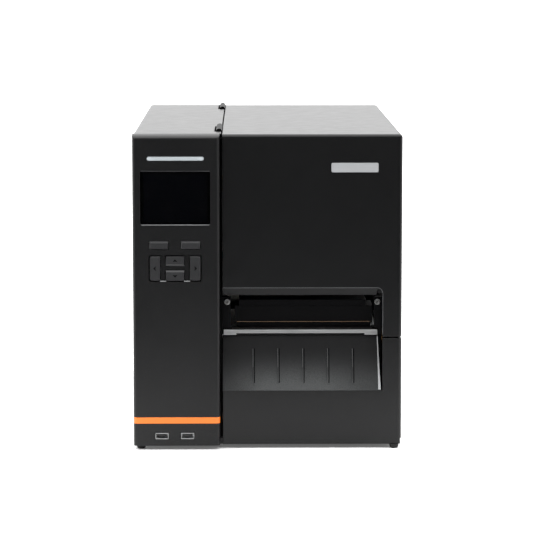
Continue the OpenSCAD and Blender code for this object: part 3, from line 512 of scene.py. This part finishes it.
def softened(shape, width, where=None):
    """Rounds a shape's sharp edges; where says by an edge's middle which of them."""
    edges = [
        edge for edge in shape.edges
        if len(edge.link_faces) == 2
        and edge.calc_face_angle() > SHARP
        and (where is None or where((edge.verts[0].co + edge.verts[1].co) / 2))
    ]
    bmesh.ops.bevel(
        shape, geom=edges, offset=width, segments=2, profile=0.5, affect="EDGES",
        loop_slide=False, clamp_overlap=False,
    )
    return shape


def finished(name, shape, body, finish):
    """A piece from a bmesh that lies in its place, riding on a body."""
    return dressed(name, mesh_of(name, shape), body, finish)


def dressed(name, mesh, body, finish):
    """A piece from a mesh that lies in its place, smooth over its rounded edges."""
    mesh.shade_smooth()
    mesh.set_sharp_from_angle(angle=SHARP)
    mesh.materials.clear()
    mesh.materials.append(FINISHES[finish])
    piece = in_scene(name, mesh)
    flat = piece.modifiers.new("flat faces stay flat", "WEIGHTED_NORMAL")
    flat.keep_sharp = True
    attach(piece, body)
    return piece


def refined(node, edge=0.0, finish=None, shape=None):
    """Stands a finished copy of a CAD node in its place, with its edges rounded."""
    slot = SLOT_OF[node]
    shape = shape or cad_mesh(node)
    if edge > 0:
        softened(shape, edge)
    piece = finished(node + "_finished", shape, BODY_OF[node], finish or slot)
    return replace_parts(piece, node)


def rounded_outline(low, high, radii, steps=6):
    """Points round a rectangle from its lower left corner, with a radius for each corner."""
    (u0, v0), (u1, v1) = low, high
    corners = [(u0, v0, 1, 1, 180), (u1, v0, -1, 1, 270), (u1, v1, -1, -1, 0), (u0, v1, 1, -1, 90)]
    points = []
    for (u, v, du, dv, start), radius in zip(corners, radii):
        for i in range(steps + 1):
            angle = math.radians(start + 90 * i / steps)
            points.append((u + du * radius + radius * math.cos(angle),
                           v + dv * radius + radius * math.sin(angle)))
    return points


def lofted(rings):
    """A closed solid through rings of points that all have the same number of points."""
    shape = bmesh.new()
    rows = [[shape.verts.new(point) for point in ring] for ring in rings]
    for first, second in zip(rows, rows[1:]):
        for i in range(len(first)):
            j = (i + 1) % len(first)
            shape.faces.new((first[i], first[j], second[j], second[i]))
    shape.faces.new(list(reversed(rows[0])))
    shape.faces.new(rows[-1])
    bmesh.ops.recalc_face_normals(shape, faces=shape.faces)
    return shape


def loose_boxes(node):
    """The lower and upper corner of each loose part of a CAD node."""
    shape = cad_mesh(node)
    shape.verts.index_update()
    seen = set()
    boxes = []
    for start in shape.verts:
        if start.index in seen:
            continue
        seen.add(start.index)
        group = [start]
        for vertex in group:
            for edge in vertex.link_edges:
                other = edge.other_vert(vertex)
                if other.index not in seen:
                    seen.add(other.index)
                    group.append(other)
        columns = list(zip(*(vertex.co for vertex in group)))
        boxes.append((Vector([min(c) for c in columns]), Vector([max(c) for c in columns])))
    shape.free()
    return boxes


def sill(name, left, right, foot, height, finish):
    """A narrow sloping strip at the rim of an opening in the tower's front, in a lighter finish
    that paints the rim's highlight.
    """
    front, back = -250.15, -248.7
    section = (
        (front, 0.05), (back - 0.2, height), (back, height), (back, 0.0), (front + 0.05, 0.0)
    )
    rings = [[(x, y * MM, foot + z * MM) for y, z in section] for x in (left, right)]
    return finished(name, lofted(rings), "chassis", finish)


def carried(path, section):
    """Rings that carry a section (outward, y) along a path (x, z, outward x, outward z)."""
    return [
        [((x + u * out) * MM, y * MM, (z + v * out) * MM) for out, y in section]
        for x, z, u, v in path
    ]


def chute_face(z):
    """Where the chute's sloping face lies in depth at a height, in millimetres."""
    return CHUTE_FOOT[0] + CHUTE_LEAN * (z - CHUTE_FOOT[1])


def facing_forward(points, y):
    """Outline points (x, z) as places in the frame at depth y, for a face seen from the front."""
    return [(u, y, v) for u, v in points]


# ---- Geometry node patterns ----


class Pattern(Nodes):
    """A geometry node tree in the making, with named inputs."""

    def __init__(self, name):
        super().__init__(bpy.data.node_groups.new(name, "GeometryNodeTree"))
        self.tree.interface.new_socket(
            "Geometry", in_out="OUTPUT", socket_type="NodeSocketGeometry"
        )
        self.entry = self.node("NodeGroupInput")

    def inputs(self, **kinds):
        """Adds inputs by name and kind, and gives the links that carry them."""
        for name, kind in kinds.items():
            self.tree.interface.new_socket(name, in_out="INPUT", socket_type="NodeSocket" + kind)
        return [self.entry.outputs[name] for name in kinds]

    def step(self, kind, settings=None, **values):
        """Adds a geometry node, its sockets named with _ for a space; gives its first output."""
        values = {key.replace("_", " "): value for key, value in values.items()}
        return self.node("GeometryNode" + kind, settings, values).outputs[0]

    def close(self, geometry):
        """Ends the tree in plain, finished geometry."""
        (finish,) = self.inputs(Finish="Material")
        real = self.step("RealizeInstances", Geometry=geometry)
        coated = self.step("SetMaterial", Geometry=real, Material=finish)
        self.node("NodeGroupOutput", {}, {"Geometry": coated})
        return self.tree


def row_pattern():
    """Blocks in a straight row, such as ribs, teeth or fins."""
    pattern = Pattern("row of blocks")
    count, start, step, block, turn = pattern.inputs(
        Count="Int", Start="Vector", Step="Vector", Block="Vector", Turn="Rotation"
    )
    line = pattern.step(
        "MeshLine", {"mode": "OFFSET"}, Count=count, Start_Location=start, Offset=step
    )
    cube = pattern.step("MeshCube", Size=block)
    return pattern.close(
        pattern.step("InstanceOnPoints", Points=line, Instance=cube, Rotation=turn)
    )


def spread_pattern():
    """One part set at every point of a mesh, turned to face along each point's direction."""
    pattern = Pattern("parts on points")
    points, part = pattern.inputs(Points="Geometry", Part="Object")
    direction = pattern.step(
        "InputNamedAttribute", {"data_type": "FLOAT_VECTOR"}, Name="direction"
    )
    turn = pattern.node(
        "FunctionNodeAlignRotationToVector", {"axis": "Z"}, {"Vector": direction}
    ).outputs[0]
    source = pattern.node("GeometryNodeObjectInfo", {}, {"Object": part}).outputs["Geometry"]
    return pattern.close(
        pattern.step("InstanceOnPoints", Points=points, Instance=source, Rotation=turn)
    )


def spring_pattern():
    """A wound wire spring that stands on its base."""
    pattern = Pattern("wound spring")
    turns, radius, height, wire, base = pattern.inputs(
        Turns="Float", Radius="Float", Height="Float", Wire="Float", Base="Vector"
    )
    spiral = pattern.step(
        "CurveSpiral", Resolution=24, Rotations=turns, Start_Radius=radius, End_Radius=radius,
        Height=height,
    )
    section = pattern.step("CurvePrimitiveCircle", Resolution=10, Radius=wire)
    tube = pattern.step("CurveToMesh", Curve=spiral, Profile_Curve=section, Fill_Caps=True)
    return pattern.close(pattern.step("Transform", Geometry=tube, Translation=base))


def bead_pattern():
    """A round bead that runs along a rectangle with rounded corners, in the YZ plane."""
    pattern = Pattern("bead round an opening")
    width, height, corner, thickness, centre = pattern.inputs(
        Width="Float", Height="Float", Corner="Float", Thickness="Float", Centre="Vector"
    )
    path = pattern.step("CurvePrimitiveQuadrilateral", Width=width, Height=height)
    rounded = pattern.step("FilletCurve", {"mode": "POLY"}, Curve=path, Radius=corner, Count=10)
    section = pattern.step("CurvePrimitiveCircle", Resolution=10, Radius=thickness)
    tube = pattern.step("CurveToMesh", Curve=rounded, Profile_Curve=section)
    upright = (math.pi / 2, 0, math.pi / 2)
    return pattern.close(
        pattern.step("Transform", Geometry=tube, Translation=centre, Rotation=upright)
    )


def patterned(tree, values, points=None):
    """The plain mesh that a pattern makes with these named inputs."""
    holder = in_scene("pattern holder", points or bpy.data.meshes.new("pattern seed"))
    modifier = holder.modifiers.new("pattern", "NODES")
    modifier.node_group = tree
    named = {item.name: item.identifier for item in tree.interface.items_tree}
    for name, value in values.items():
        modifier[named[name]] = value
    holder.update_tag()
    shown = bpy.context.evaluated_depsgraph_get()
    made = bpy.data.meshes.new_from_object(holder.evaluated_get(shown))
    bpy.data.objects.remove(holder)
    return made


def pattern_piece(name, tree, values, body, slot, finish=None, points=None):
    """A plain mesh piece from a pattern, riding on a body."""
    values = dict(values, Finish=FINISHES[finish or slot])
    return dressed(name, patterned(tree, values, points), body, finish or slot)


# ---- Operators ----


class PrinterOperator(bpy.types.Operator):
    """What all the printer's operators share."""

    bl_options = {"REGISTER"}

    def execute(self, context):
        """Makes this operator's pieces."""
        self.build(context.scene.printer_sizes)
        return {"FINISHED"}


class MakeFinishes(PrinterOperator):
    """Make every material of the printer"""

    bl_idname = "printer.make_finishes"
    bl_label = "Finishes"

    def build(self, sizes):
        FINISHES.clear()
        FINISHES.update(make_finishes(bpy.context.scene.printer_colours))


class MakeCasing(PrinterOperator):
    """Make the tower, the covers, the pan and the frame that carries them"""

    bl_idname = "printer.make_casing"
    bl_label = "Casing"

    def build(self, sizes):
        self.bezel(sizes)
        self.cover(sizes)
        for node in ("tower_cover", "lower_front_panel", "rear_panel"):
            refined(node, sizes.edge)
        refined("base_pan", sizes.edge)
        refined("centre_frame")
        refined("accent_stripe", 0.0003)
        refined("nameplate", 0.0002)
        refined("rubber_feet", 0.0004)

    def bezel(self, sizes):
        """The tower's front; the pad's recess has closer edges than the rest."""
        low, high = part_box("left_key"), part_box("right_key")
        margin = 2 * MM
        shape = cad_mesh("front_bezel")

        def in_pad(place):
            return (
                low[0].x - margin < place.x < high[1].x + margin
                and low[0].z - margin < place.z < high[1].z + margin
            )

        softened(shape, sizes.edge * 0.6, lambda place: not in_pad(place))
        softened(shape, sizes.fine_edge * 0.6, in_pad)
        refined("front_bezel", shape=shape)

    def cover(self, sizes):
        """The cover; the lip over the label exit has closer edges than the rest."""
        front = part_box("media_cover")[0].y + 9 * MM
        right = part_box("exit_chute")[1].x - 3 * MM
        bottom, top = 0.157, 0.173
        shape = cad_mesh("media_cover")

        def on_lip(place):
            return place.y < front and place.x < right and bottom < place.z < top

        softened(shape, sizes.edge * 0.8, lambda place: not on_lip(place))
        refined("media_cover", shape=shape)
        self.lip_corner()
        self.lip_line()
        self.seal()

    def lip_line(self):
        """A fine rolled edge that runs over the label exit, round its corner and down its side, in
        a lighter grey that paints the edge's highlight.
        """
        left, foot, reach = -46.2, 118.5, 6.2
        x, z = EXIT_CORNER
        path = [(left, z + reach, 0, 1), (x, z + reach, 0, 1)]
        path += [(x + reach * u, z + reach * v, u, v) for u, v in QUARTER[1:-1]]
        path += [(x + reach, z, 1, 0), (x + reach, foot, 1, 0)]
        rings = carried(path, ((-0.3, -242.3), (-0.15, -242.75), (0.15, -242.75), (0.3, -242.3)))
        finished("cover_lip_line", lofted(rings), "cover", "edge_dim")

    def seal(self):
        """A soft black seal stands in the gap between the tower and the cover; its near-black, dull
        finish paints the deep shade of that gap.
        """
        left, right, front, shoulder, back = -48.8, -46.6, -239.0, -238.0, -236.6
        foot, top = 12.0, 320.0
        section = (
            (left, shoulder), (left + 0.4, front), (right - 0.4, front), (right, shoulder),
            (right, back), (left, back),
        )
        rings = [[(x * MM, y * MM, z * MM) for x, y in section] for z in (foot, top)]
        # Painted shade: the near-black finish stands in for the shadow deep in the gap.
        finished("gap_seal", lofted(rings), "chassis", "print_and_painted_shade")

    def lip_corner(self):
        """The sloping lip turns down round the exit's upper right corner."""
        x, z = EXIT_CORNER
        rings = carried(
            [(x, z, u, v) for u, v in QUARTER],
            ((6.0, -242.3), (0.4, -235.6), (0.4, -234.9), (6.0, -240.6)),
        )
        finished("cover_lip_corner", lofted(rings), "cover", "black_sheet")


class MakeDisplay(PrinterOperator):
    """Make the status lamp, the display and the board behind them"""

    bl_idname = "printer.make_display"
    bl_label = "Display"

    def build(self, sizes):
        refined("indicator_bar", sizes.fine_edge * 2.5)
        refined("display_module", sizes.fine_edge)
        refined("control_board", 0.0001)
        left, right, foot, top = (place * MM for place in (-129.7, -58.6, 232.5, 287.4))
        # Two lighter sloping strips paint the highlights on the rims of the display's opening.
        sill("display_rim_low", left + 0.8 * MM, right, foot, 0.6, "edge_mid")
        sill("display_rim_high", left, right, top, 0.7, "edge_dim")


class MakeKeys(PrinterOperator):
    """Make the two soft keys and the four-way pad with its arrow marks"""

    bl_idname = "printer.make_keys"
    bl_label = "Keys"

    def build(self, sizes):
        keys = {
            "soft_key_left": ((0.9,) * 4, (0.9, 0.6, 0.6, 1.9)),
            "soft_key_right": ((0.9,) * 4, (0.9, 0.6, 0.6, 1.9)),
            "up_key": ((0.5,) * 4, (0.6, 0.6, 1.9, 0.9)),
            "down_key": ((0.5,) * 4, (0.6, 0.6, 0.6, 1.9)),
            "left_key": ((2.4, 0.5, 0.5, 2.4), (0.8, 0.7, 0.7, 1.3)),
            "right_key": ((0.5, 2.4, 2.4, 0.5), (0.7, 0.8, 0.7, 1.3)),
        }
        for node, (radii, chamfers) in keys.items():
            self.key(node, radii, chamfers)
        for node, towards in (
            ("up_key", (0, 1)), ("down_key", (0, -1)), ("left_key", (-1, 0)), ("right_key", (1, 0)),
        ):
            self.arrow(node, towards)
        self.sills()

    def sills(self):
        """Two bright sloping sills at the foot of the pad's recess, between its keys, that paint
        the highlight on the recess's lower rim.
        """
        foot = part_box("left_key")[0].z - 0.55 * MM
        for name, left, right in (
            ("pad_sill_left", "left_key", "down_key"), ("pad_sill_right", "down_key", "right_key"),
        ):
            x0, x1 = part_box(left)[1].x - 0.4 * MM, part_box(right)[0].x + 0.4 * MM
            sill(name, x0, x1, foot, 0.75, "edge_light")

    def key(self, node, radii, chamfers):
        """A key with sloping edges; chamfers, in millimetres, are left, right, bottom and top."""
        low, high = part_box(node)
        drop = 0.95 * MM if node.startswith("soft") else 1.5 * MM
        left, right, bottom, top = slopes = [chamfer * MM for chamfer in chamfers]
        rings = []
        for share, depth in ((0, high.y), (0, low.y + drop), (0.85, low.y + 0.14 * MM), (1, low.y)):
            outline = rounded_outline(
                (low.x + left * share, low.z + bottom * share),
                (high.x - right * share, high.z - top * share),
                [max(radius * MM - min(slopes) * share, 0.15 * MM) for radius in radii],
            )
            rings.append(facing_forward(outline, depth))
        refined(node, 0.0, "keys", lofted(rings))

    def arrow(self, node, towards):
        """A flat chevron printed on a key."""
        low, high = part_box(node)
        along = Vector((towards[0], 0, towards[1]))
        across = Vector((towards[1], 0, -towards[0]))
        middle = Vector(((low.x + high.x) / 2, low.y - 0.02 * MM, (low.z + high.z) / 2))
        middle += along * 0.4 * MM
        outline = [
            middle + along * 1.4 * MM, middle + across * 2.5 * MM - along * 1.3 * MM,
            middle - along * 0.8 * MM, middle - across * 2.5 * MM - along * 1.3 * MM,
        ]
        inside = low.y + 0.3 * MM
        shape = lofted([[tuple(p) for p in outline], [(p.x, inside, p.z) for p in outline]])
        finished(node + "_arrow", shape, BODY_OF[node], "print_and_painted_shade")


class MakeSockets(PrinterOperator):
    """Make the front and rear sockets, the mains inlet and its switch"""

    bl_idname = "printer.make_sockets"
    bl_label = "Sockets"

    def build(self, sizes):
        self.usb()
        for node in ("rear_ports", "power_inlet", "power_switch"):
            refined(node, sizes.fine_edge)

    def usb(self):
        """Two folded-steel USB shells, each with a dark tongue and two springs below it."""
        shells = bmesh.new()
        tongues = bmesh.new()
        for low, high in loose_boxes("usb_host_ports"):
            wall = 0.4 * MM
            radius = 0.5 * MM
            outer = rounded_outline((low.x, low.z), (high.x, high.z), [radius] * 4)
            inner = rounded_outline(
                (low.x + wall, low.z + wall), (high.x - wall, high.z - wall), [radius / 2] * 4
            )
            rings = [
                facing_forward(outer, high.y), facing_forward(outer, low.y),
                facing_forward(inner, low.y), facing_forward(inner, high.y - wall),
            ]
            self.add(shells, lofted(rings))
            middle = (low + high) / 2
            flat = rounded_outline(
                (middle.x - 5 * MM, middle.z - 0.1 * MM), (middle.x + 5 * MM, middle.z + 1.8 * MM),
                [0.3 * MM] * 4,
            )
            rings = [facing_forward(flat, y) for y in (high.y - 2 * wall, low.y + 1.2 * MM)]
            self.add(tongues, lofted(rings))
            for side in (-1, 1):
                x, z = middle.x + side * 3.4 * MM, low.z + wall
                spring = [
                    [(x + u * MM, low.y + 0.3 * MM + v * MM, z + w * MM) for u, w in (
                        (-1.0, -0.1), (1.0, -0.1), (0.6, lift), (-0.6, lift),
                    )]
                    for v, lift, w in ((0.0, 0.1, 0), (1.2, 0.9, 0), (3.0, 0.1, 0))
                ]
                self.add(shells, lofted(spring))
        finished("usb_tongues", tongues, "chassis", "socket_dark")
        refined("usb_host_ports", 0.0, "bright_steel", shells)

    def add(self, whole, part):
        """Adds one shape to another and drops it."""
        mesh = mesh_of("part", part)
        whole.from_mesh(mesh)
        bpy.data.meshes.remove(mesh)


class MakeExit(PrinterOperator):
    """Make the chute with its ribs, and the tear bar with its teeth"""

    bl_idname = "printer.make_exit"
    bl_label = "Label exit"

    def build(self, sizes):
        self.chute()
        self.chute_ribs(sizes)
        self.chute_edge()
        self.tear_bar(sizes)

    def chute(self):
        """The chute narrows upwards a little at its right-hand end, with a rounded front edge."""
        shape = cad_mesh("exit_chute")
        low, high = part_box("exit_chute")
        end, narrowing, tall = high.x - 4 * MM, 3.0 * MM, 30 * MM
        softened(shape, 0.3 * MM, lambda place: place.x < end)
        for vertex in shape.verts:
            if vertex.co.x > end:
                vertex.co.x -= narrowing * (vertex.co.z - low.z) / (high.z - low.z)
        edges = [
            edge for edge in shape.edges
            if min(v.co.x for v in edge.verts) > end
            and abs(edge.verts[0].co.z - edge.verts[1].co.z) > tall
            and sum(v.co.y for v in edge.verts) / 2 < (low.y + high.y) / 2
        ]
        bmesh.ops.bevel(
            shape, geom=edges, offset=1.6 * MM, segments=5, profile=0.5, affect="EDGES",
            clamp_overlap=False,
        )
        refined("exit_chute", 0.0, "chute", shape)

    def chute_ribs(self, sizes):
        """A lighter strip on each rib of the chute as a painted highlight, and a black strip along
        its right side as a painted shadow.
        """
        slope = math.atan2(15.1, 53.9)
        first, pitch, foot, top = -14.9, 25.65, 68.2, 102.6
        halfway = (foot + top) / 2
        middle = Vector((first, chute_face(halfway), halfway)) * MM
        height = (top - foot) * MM / math.cos(slope)
        # The first row is painted highlight on the rib crests; the second row is flat black strips
        # that paint the shadow beside each rib.
        rows = (
            ("chute_rib_crests", "chute_rib", -0.2, sizes.rib * 0.55, -0.35),
            ("chute_rib_grooves", "print_and_painted_shade", 1.1, sizes.rib * 0.72, 0.3),
        )
        for name, finish, shift, width, proud in rows:
            values = {
                "Count": 5, "Start": middle + Vector((shift, proud, 0)) * MM,
                "Step": (pitch * MM, 0, 0), "Block": (width, 0.8 * MM, height),
                "Turn": (-slope, 0, 0),
            }
            pattern_piece(name, row_pattern(), values, "chassis", "grained_plastic", finish)

    def chute_edge(self):
        """A bright strip that widens downwards along the chute's right-hand end, a painted
        highlight on its rounded edge.
        """
        rings = []
        for z, left, right in ((115.2, 112.9, 113.7), (90.0, 113.5, 114.9), (61.6, 113.9, 116.5)):
            y = chute_face(z)
            section = (
                (left, y - 0.35), ((left + right) / 2, y - 0.6), (right, y - 0.2),
                (right, y + 0.9), (left, y + 0.9),
            )
            rings.append([(x * MM, depth * MM, z * MM) for x, depth in section])
        finished("chute_end_strip", lofted(rings), "chassis", "edge_light")

    def tear_bar(self, sizes):
        """The bar's working edge carries a row of small teeth."""
        refined("tear_bar", 0.00025)
        low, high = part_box("tear_bar")
        count = int((high.x - low.x) / sizes.tooth) - 1
        values = {
            "Count": count,
            "Start": (low.x + sizes.tooth, low.y + 0.3 * MM, high.z - 0.55 * MM),
            "Step": (sizes.tooth, 0, 0), "Block": (sizes.tooth * 0.45, 0.0007, 0.0009),
        }
        pattern_piece("tear_teeth", row_pattern(), values, "chassis", "bright_steel")


class MakeMechanism(PrinterOperator):
    """Make the platen, the print head, their springs, knobs and lever"""

    bl_idname = "printer.make_mechanism"
    bl_label = "Print mechanism"

    def build(self, sizes):
        for node in (
            "mechanism_base", "head_bridge", "shaft_bushes", "head_carrier", "thermal_head",
            "pressure_knob_left", "pressure_knob_right", "head_lever", "platen_roller",
            "platen_shaft", "print_motor", "ribbon_motor", "motor_pinion", "ribbon_pinion",
            "platen_gear", "rewind_gear",
        ):
            thin = node.endswith("gear") or node.endswith("pinion")
            refined(node, 0.00008 if thin else sizes.fine_edge * 1.5)
        self.springs(sizes)
        self.head_edge()

    def head_edge(self):
        """The glazed edge of the print head's ceramic, seen through the label exit."""
        low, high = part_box("thermal_head")
        y, z = low.y, low.z + 4.6 * MM
        section = ((y - 0.5 * MM, 0), (y - 0.5 * MM, 0.25), (y, 0.35), (y + MM, 0.35), (y + MM, 0))
        rings = [
            [(x, back, z + up * MM) for back, up in section]
            for x in (low.x + 2 * MM, high.x - 2 * MM)
        ]
        finished("head_edge", lofted(rings), "head", "ceramic")

    def springs(self, sizes):
        """Two wound springs between the carrier and the knobs."""
        low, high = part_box("head_springs")
        outer = (high.y - low.y) / 2
        winding = spring_pattern()
        shape = bmesh.new()
        for x in (low.x + outer, high.x - outer):
            values = {
                "Turns": 4.0, "Radius": outer - sizes.wire, "Wire": sizes.wire,
                "Height": high.z - low.z - 2 * sizes.wire,
                "Base": (x, (low.y + high.y) / 2, low.z + sizes.wire),
                "Finish": FINISHES["bright_screw"],
            }
            shape.from_mesh(patterned(winding, values))
        refined("head_springs", 0.0, "bright_screw", shape)


class MakeMedia(PrinterOperator):
    """Make the spindles, guides and rollers of the labels and the ribbon"""

    bl_idname = "printer.make_media"
    bl_label = "Media and ribbon"

    def build(self, sizes):
        for node in (
            "media_path_plate", "ribbon_guide_bars", "label_spindle", "rewind_spindle",
            "supply_spindle", "label_sensor", "roll_guard", "damper_arm", "damper_roller",
            "media_guide",
        ):
            refined(node, sizes.fine_edge * 1.5)


class MakeCoverFittings(PrinterOperator):
    """Make the cover's window with its bead, the finger grip and the hinges"""

    bl_idname = "printer.make_cover_fittings"
    bl_label = "Cover fittings"

    def build(self, sizes):
        refined("cover_window", sizes.fine_edge)
        refined("cover_grip", sizes.fine_edge * 2)
        for node in ("fixed_hinge_leaves", "moving_hinge_leaves", "hinge_pins"):
            refined(node, sizes.fine_edge, "dark_metal")
        self.bead(sizes)

    def bead(self, sizes):
        """A soft bead between the window and the cover's skin."""
        low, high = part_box("cover_window")
        lap = 6 * MM + sizes.bead
        values = {
            "Width": high.y - low.y - 2 * lap, "Height": high.z - low.z - 2 * lap,
            "Corner": 9.5 * MM, "Thickness": sizes.bead,
            "Centre": (high.x + 0.9 * MM, (low.y + high.y) / 2, (low.z + high.z) / 2),
        }
        pattern_piece("window_bead", bead_pattern(), values, "cover", "black_rubber")


class MakeElectronics(PrinterOperator):
    """Make the main board and the power supply"""

    bl_idname = "printer.make_electronics"
    bl_label = "Electronics"

    def build(self, sizes):
        for node in ("main_board", "power_supply"):
            refined(node, sizes.fine_edge)


class MakeScrews(PrinterOperator):
    """Make the screws of the rear panel and the tear bar, with their domed heads"""

    bl_idname = "printer.make_screws"
    bl_label = "Screws"

    def build(self, sizes):
        refined("screws", 0.0002, "bright_screw")
        part = self.head(sizes)
        self.heads("rear_screw_heads", part, 1, "bright_screw")
        self.heads("front_screw_heads", part, -1, "edge_dim")
        bpy.data.objects.remove(part)

    def heads(self, name, part, side, finish):
        """A head on each screw that faces the rear, side 1, or the front, side -1."""
        tops = []
        for low, high in loose_boxes("screws"):
            top = (low + high) / 2
            if top.y * side > 0:
                top.y = (high.y if side > 0 else low.y) - side * 1.3 * MM
                tops.append(top)
        places = bpy.data.meshes.new("screw places")
        places.from_pydata(tops, [], [])
        direction = places.attributes.new("direction", "FLOAT_VECTOR", "POINT")
        for item in direction.data:
            item.vector = (0, side, 0)
        pattern_piece(
            name, spread_pattern(), {"Part": part}, "chassis", "bright_steel", finish, places
        )

    def head(self, sizes):
        """A domed screw head with a six-sided socket, standing on its underside."""
        rings = []
        for share, sides, height in (
            (0.6, 0, 0.0), (1.0, 0, 0.0), (1.0, 0, 0.22), (0.92, 0, 0.36), (0.72, 0, 0.42),
            (0.46, 6, 0.42), (0.44, 6, 0.1),
        ):
            z = height * sizes.screw
            ring = []
            for i in range(48):
                angle = math.tau * i / 48
                reach = share * sizes.screw
                if sides:
                    half = math.pi / sides
                    reach *= math.cos(half) / math.cos((angle % (2 * half)) - half)
                ring.append((reach * math.cos(angle), reach * math.sin(angle), z))
            rings.append(ring)
        return in_scene("screw head", mesh_of("screw head", lofted(rings)))


class MakeStage(PrinterOperator):
    """Make the floor, the light and the camera"""

    bl_idname = "printer.make_stage"
    bl_label = "Stage"

    def build(self, sizes):
        stage = bpy.context.scene.printer_stage
        self.floor(stage)
        self.light(stage)
        self.camera(stage)
        bpy.context.scene.view_settings.view_transform = "Standard"

    def floor(self, stage):
        """A pale floor, and a dark shade on it that only gloss sees, in front of the printer."""
        self.sheet("floor", (-30, -30), (30, 30), -0.0002, "pale floor", stage.floor, 0.6, 0.12)
        shade_card = self.sheet(
            "floor shade", (-12, -14), (12, -stage.shade_start), 0.0005, "dark shade",
            (0.0, 0.0, 0.0), 1.0, 0.0,
        )
        for ray in ("camera", "diffuse", "shadow", "transmission"):
            setattr(shade_card, "visible_" + ray, False)

    def sheet(self, name, low, high, z, finish_name, colour, roughness, glow):
        """A flat rectangle on the floor, lit a little from within like a light table."""
        shape = bmesh.new()
        corners = [(low[0], low[1]), (high[0], low[1]), (high[0], high[1]), (low[0], high[1])]
        shape.faces.new([shape.verts.new((x, y, z)) for x, y in corners])
        mesh = mesh_of(name, shape)
        finish = Finish(finish_name)
        cloud = finish.noise(900, 2)
        finish.set(
            Base_Color=finish.between(cloud, shade(colour, 0.995), shade(colour, 1.005)),
            Roughness=roughness,
            Specular_IOR_Level=0.0,
            Emission_Color=(1.0, 1.0, 1.0, 1.0),
            Emission_Strength=glow,
        )
        mesh.materials.append(finish.material)
        sheet = in_scene(name, mesh)
        return sheet

    def light(self, stage):
        """Soft light all round, dim in front and stronger overhead."""
        world = bpy.data.worlds.new("studio")
        bpy.context.scene.world = world
        world.use_nodes = True
        nodes = Nodes(world.node_tree)
        direction = nodes.node("ShaderNodeTexCoord").outputs["Generated"]
        parts = nodes.node("ShaderNodeSeparateXYZ", {}, {0: direction}).outputs
        around = Value(nodes, parts["Y"]) + Value(nodes, parts["Z"]) * 0.4
        behind = around.stretch(-0.62, -0.12, stage.front_light, stage.back_light)
        above = Value(nodes, parts["Z"]).stretch(0.35, 0.95, 1.0, 1.0 + stage.top_light)
        background = world.node_tree.nodes["Background"]
        background.inputs["Color"].default_value = (1.0, 1.0, 1.0, 1.0)
        nodes.feed(background.inputs["Strength"], behind * above)

    def camera(self, stage):
        """A long lens, a little above the printer's middle and square to its front."""
        data = bpy.data.cameras.new("camera")
        data.lens = stage.lens
        data.sensor_width = 36
        camera = in_scene("camera", data)
        camera.location = (-0.0221, -2.7871, 0.509)
        camera.rotation_euler = (math.radians(82.641), 0, math.radians(-0.667))
        bpy.context.scene.camera = camera


class PrinterPanel(bpy.types.Panel):
    """The printer's pieces and settings"""

    bl_idname = "VIEW3D_PT_label_printer"
    bl_label = "Label printer"
    bl_space_type = "VIEW_3D"
    bl_region_type = "UI"
    bl_category = "Label printer"

    def draw(self, context):
        """Lists the operators, then every setting."""
        for operator in OPERATORS:
            self.layout.operator(operator.bl_idname)
        for name, group in SETTINGS.items():
            box = self.layout.box()
            for setting in group.__annotations__:
                box.prop(getattr(context.scene, name), setting)


SETTINGS = {
    "printer_colours": PrinterColours,
    "printer_sizes": PrinterSizes,
    "printer_stage": PrinterStage,
}
OPERATORS = (
    MakeFinishes, MakeCasing, MakeDisplay, MakeKeys, MakeSockets, MakeExit, MakeMechanism,
    MakeMedia, MakeCoverFittings, MakeElectronics, MakeScrews, MakeStage,
)


def register():
    """Adds the settings, the operators and the panel."""
    for name, group in SETTINGS.items():
        bpy.utils.register_class(group)
        setattr(bpy.types.Scene, name, bpy.props.PointerProperty(type=group))
    for made in OPERATORS + (PrinterPanel,):
        bpy.utils.register_class(made)


def unregister():
    """Takes them away again."""
    for made in reversed(OPERATORS + (PrinterPanel,)):
        bpy.utils.unregister_class(made)
    for name, group in SETTINGS.items():
        delattr(bpy.types.Scene, name)
        bpy.utils.unregister_class(group)


def main():
    """Builds the printer."""
    register()
    for operator in OPERATORS:
        group, name = operator.bl_idname.split(".")
        getattr(getattr(bpy.ops, group), name)()


if __name__ == "__main__":
    main()
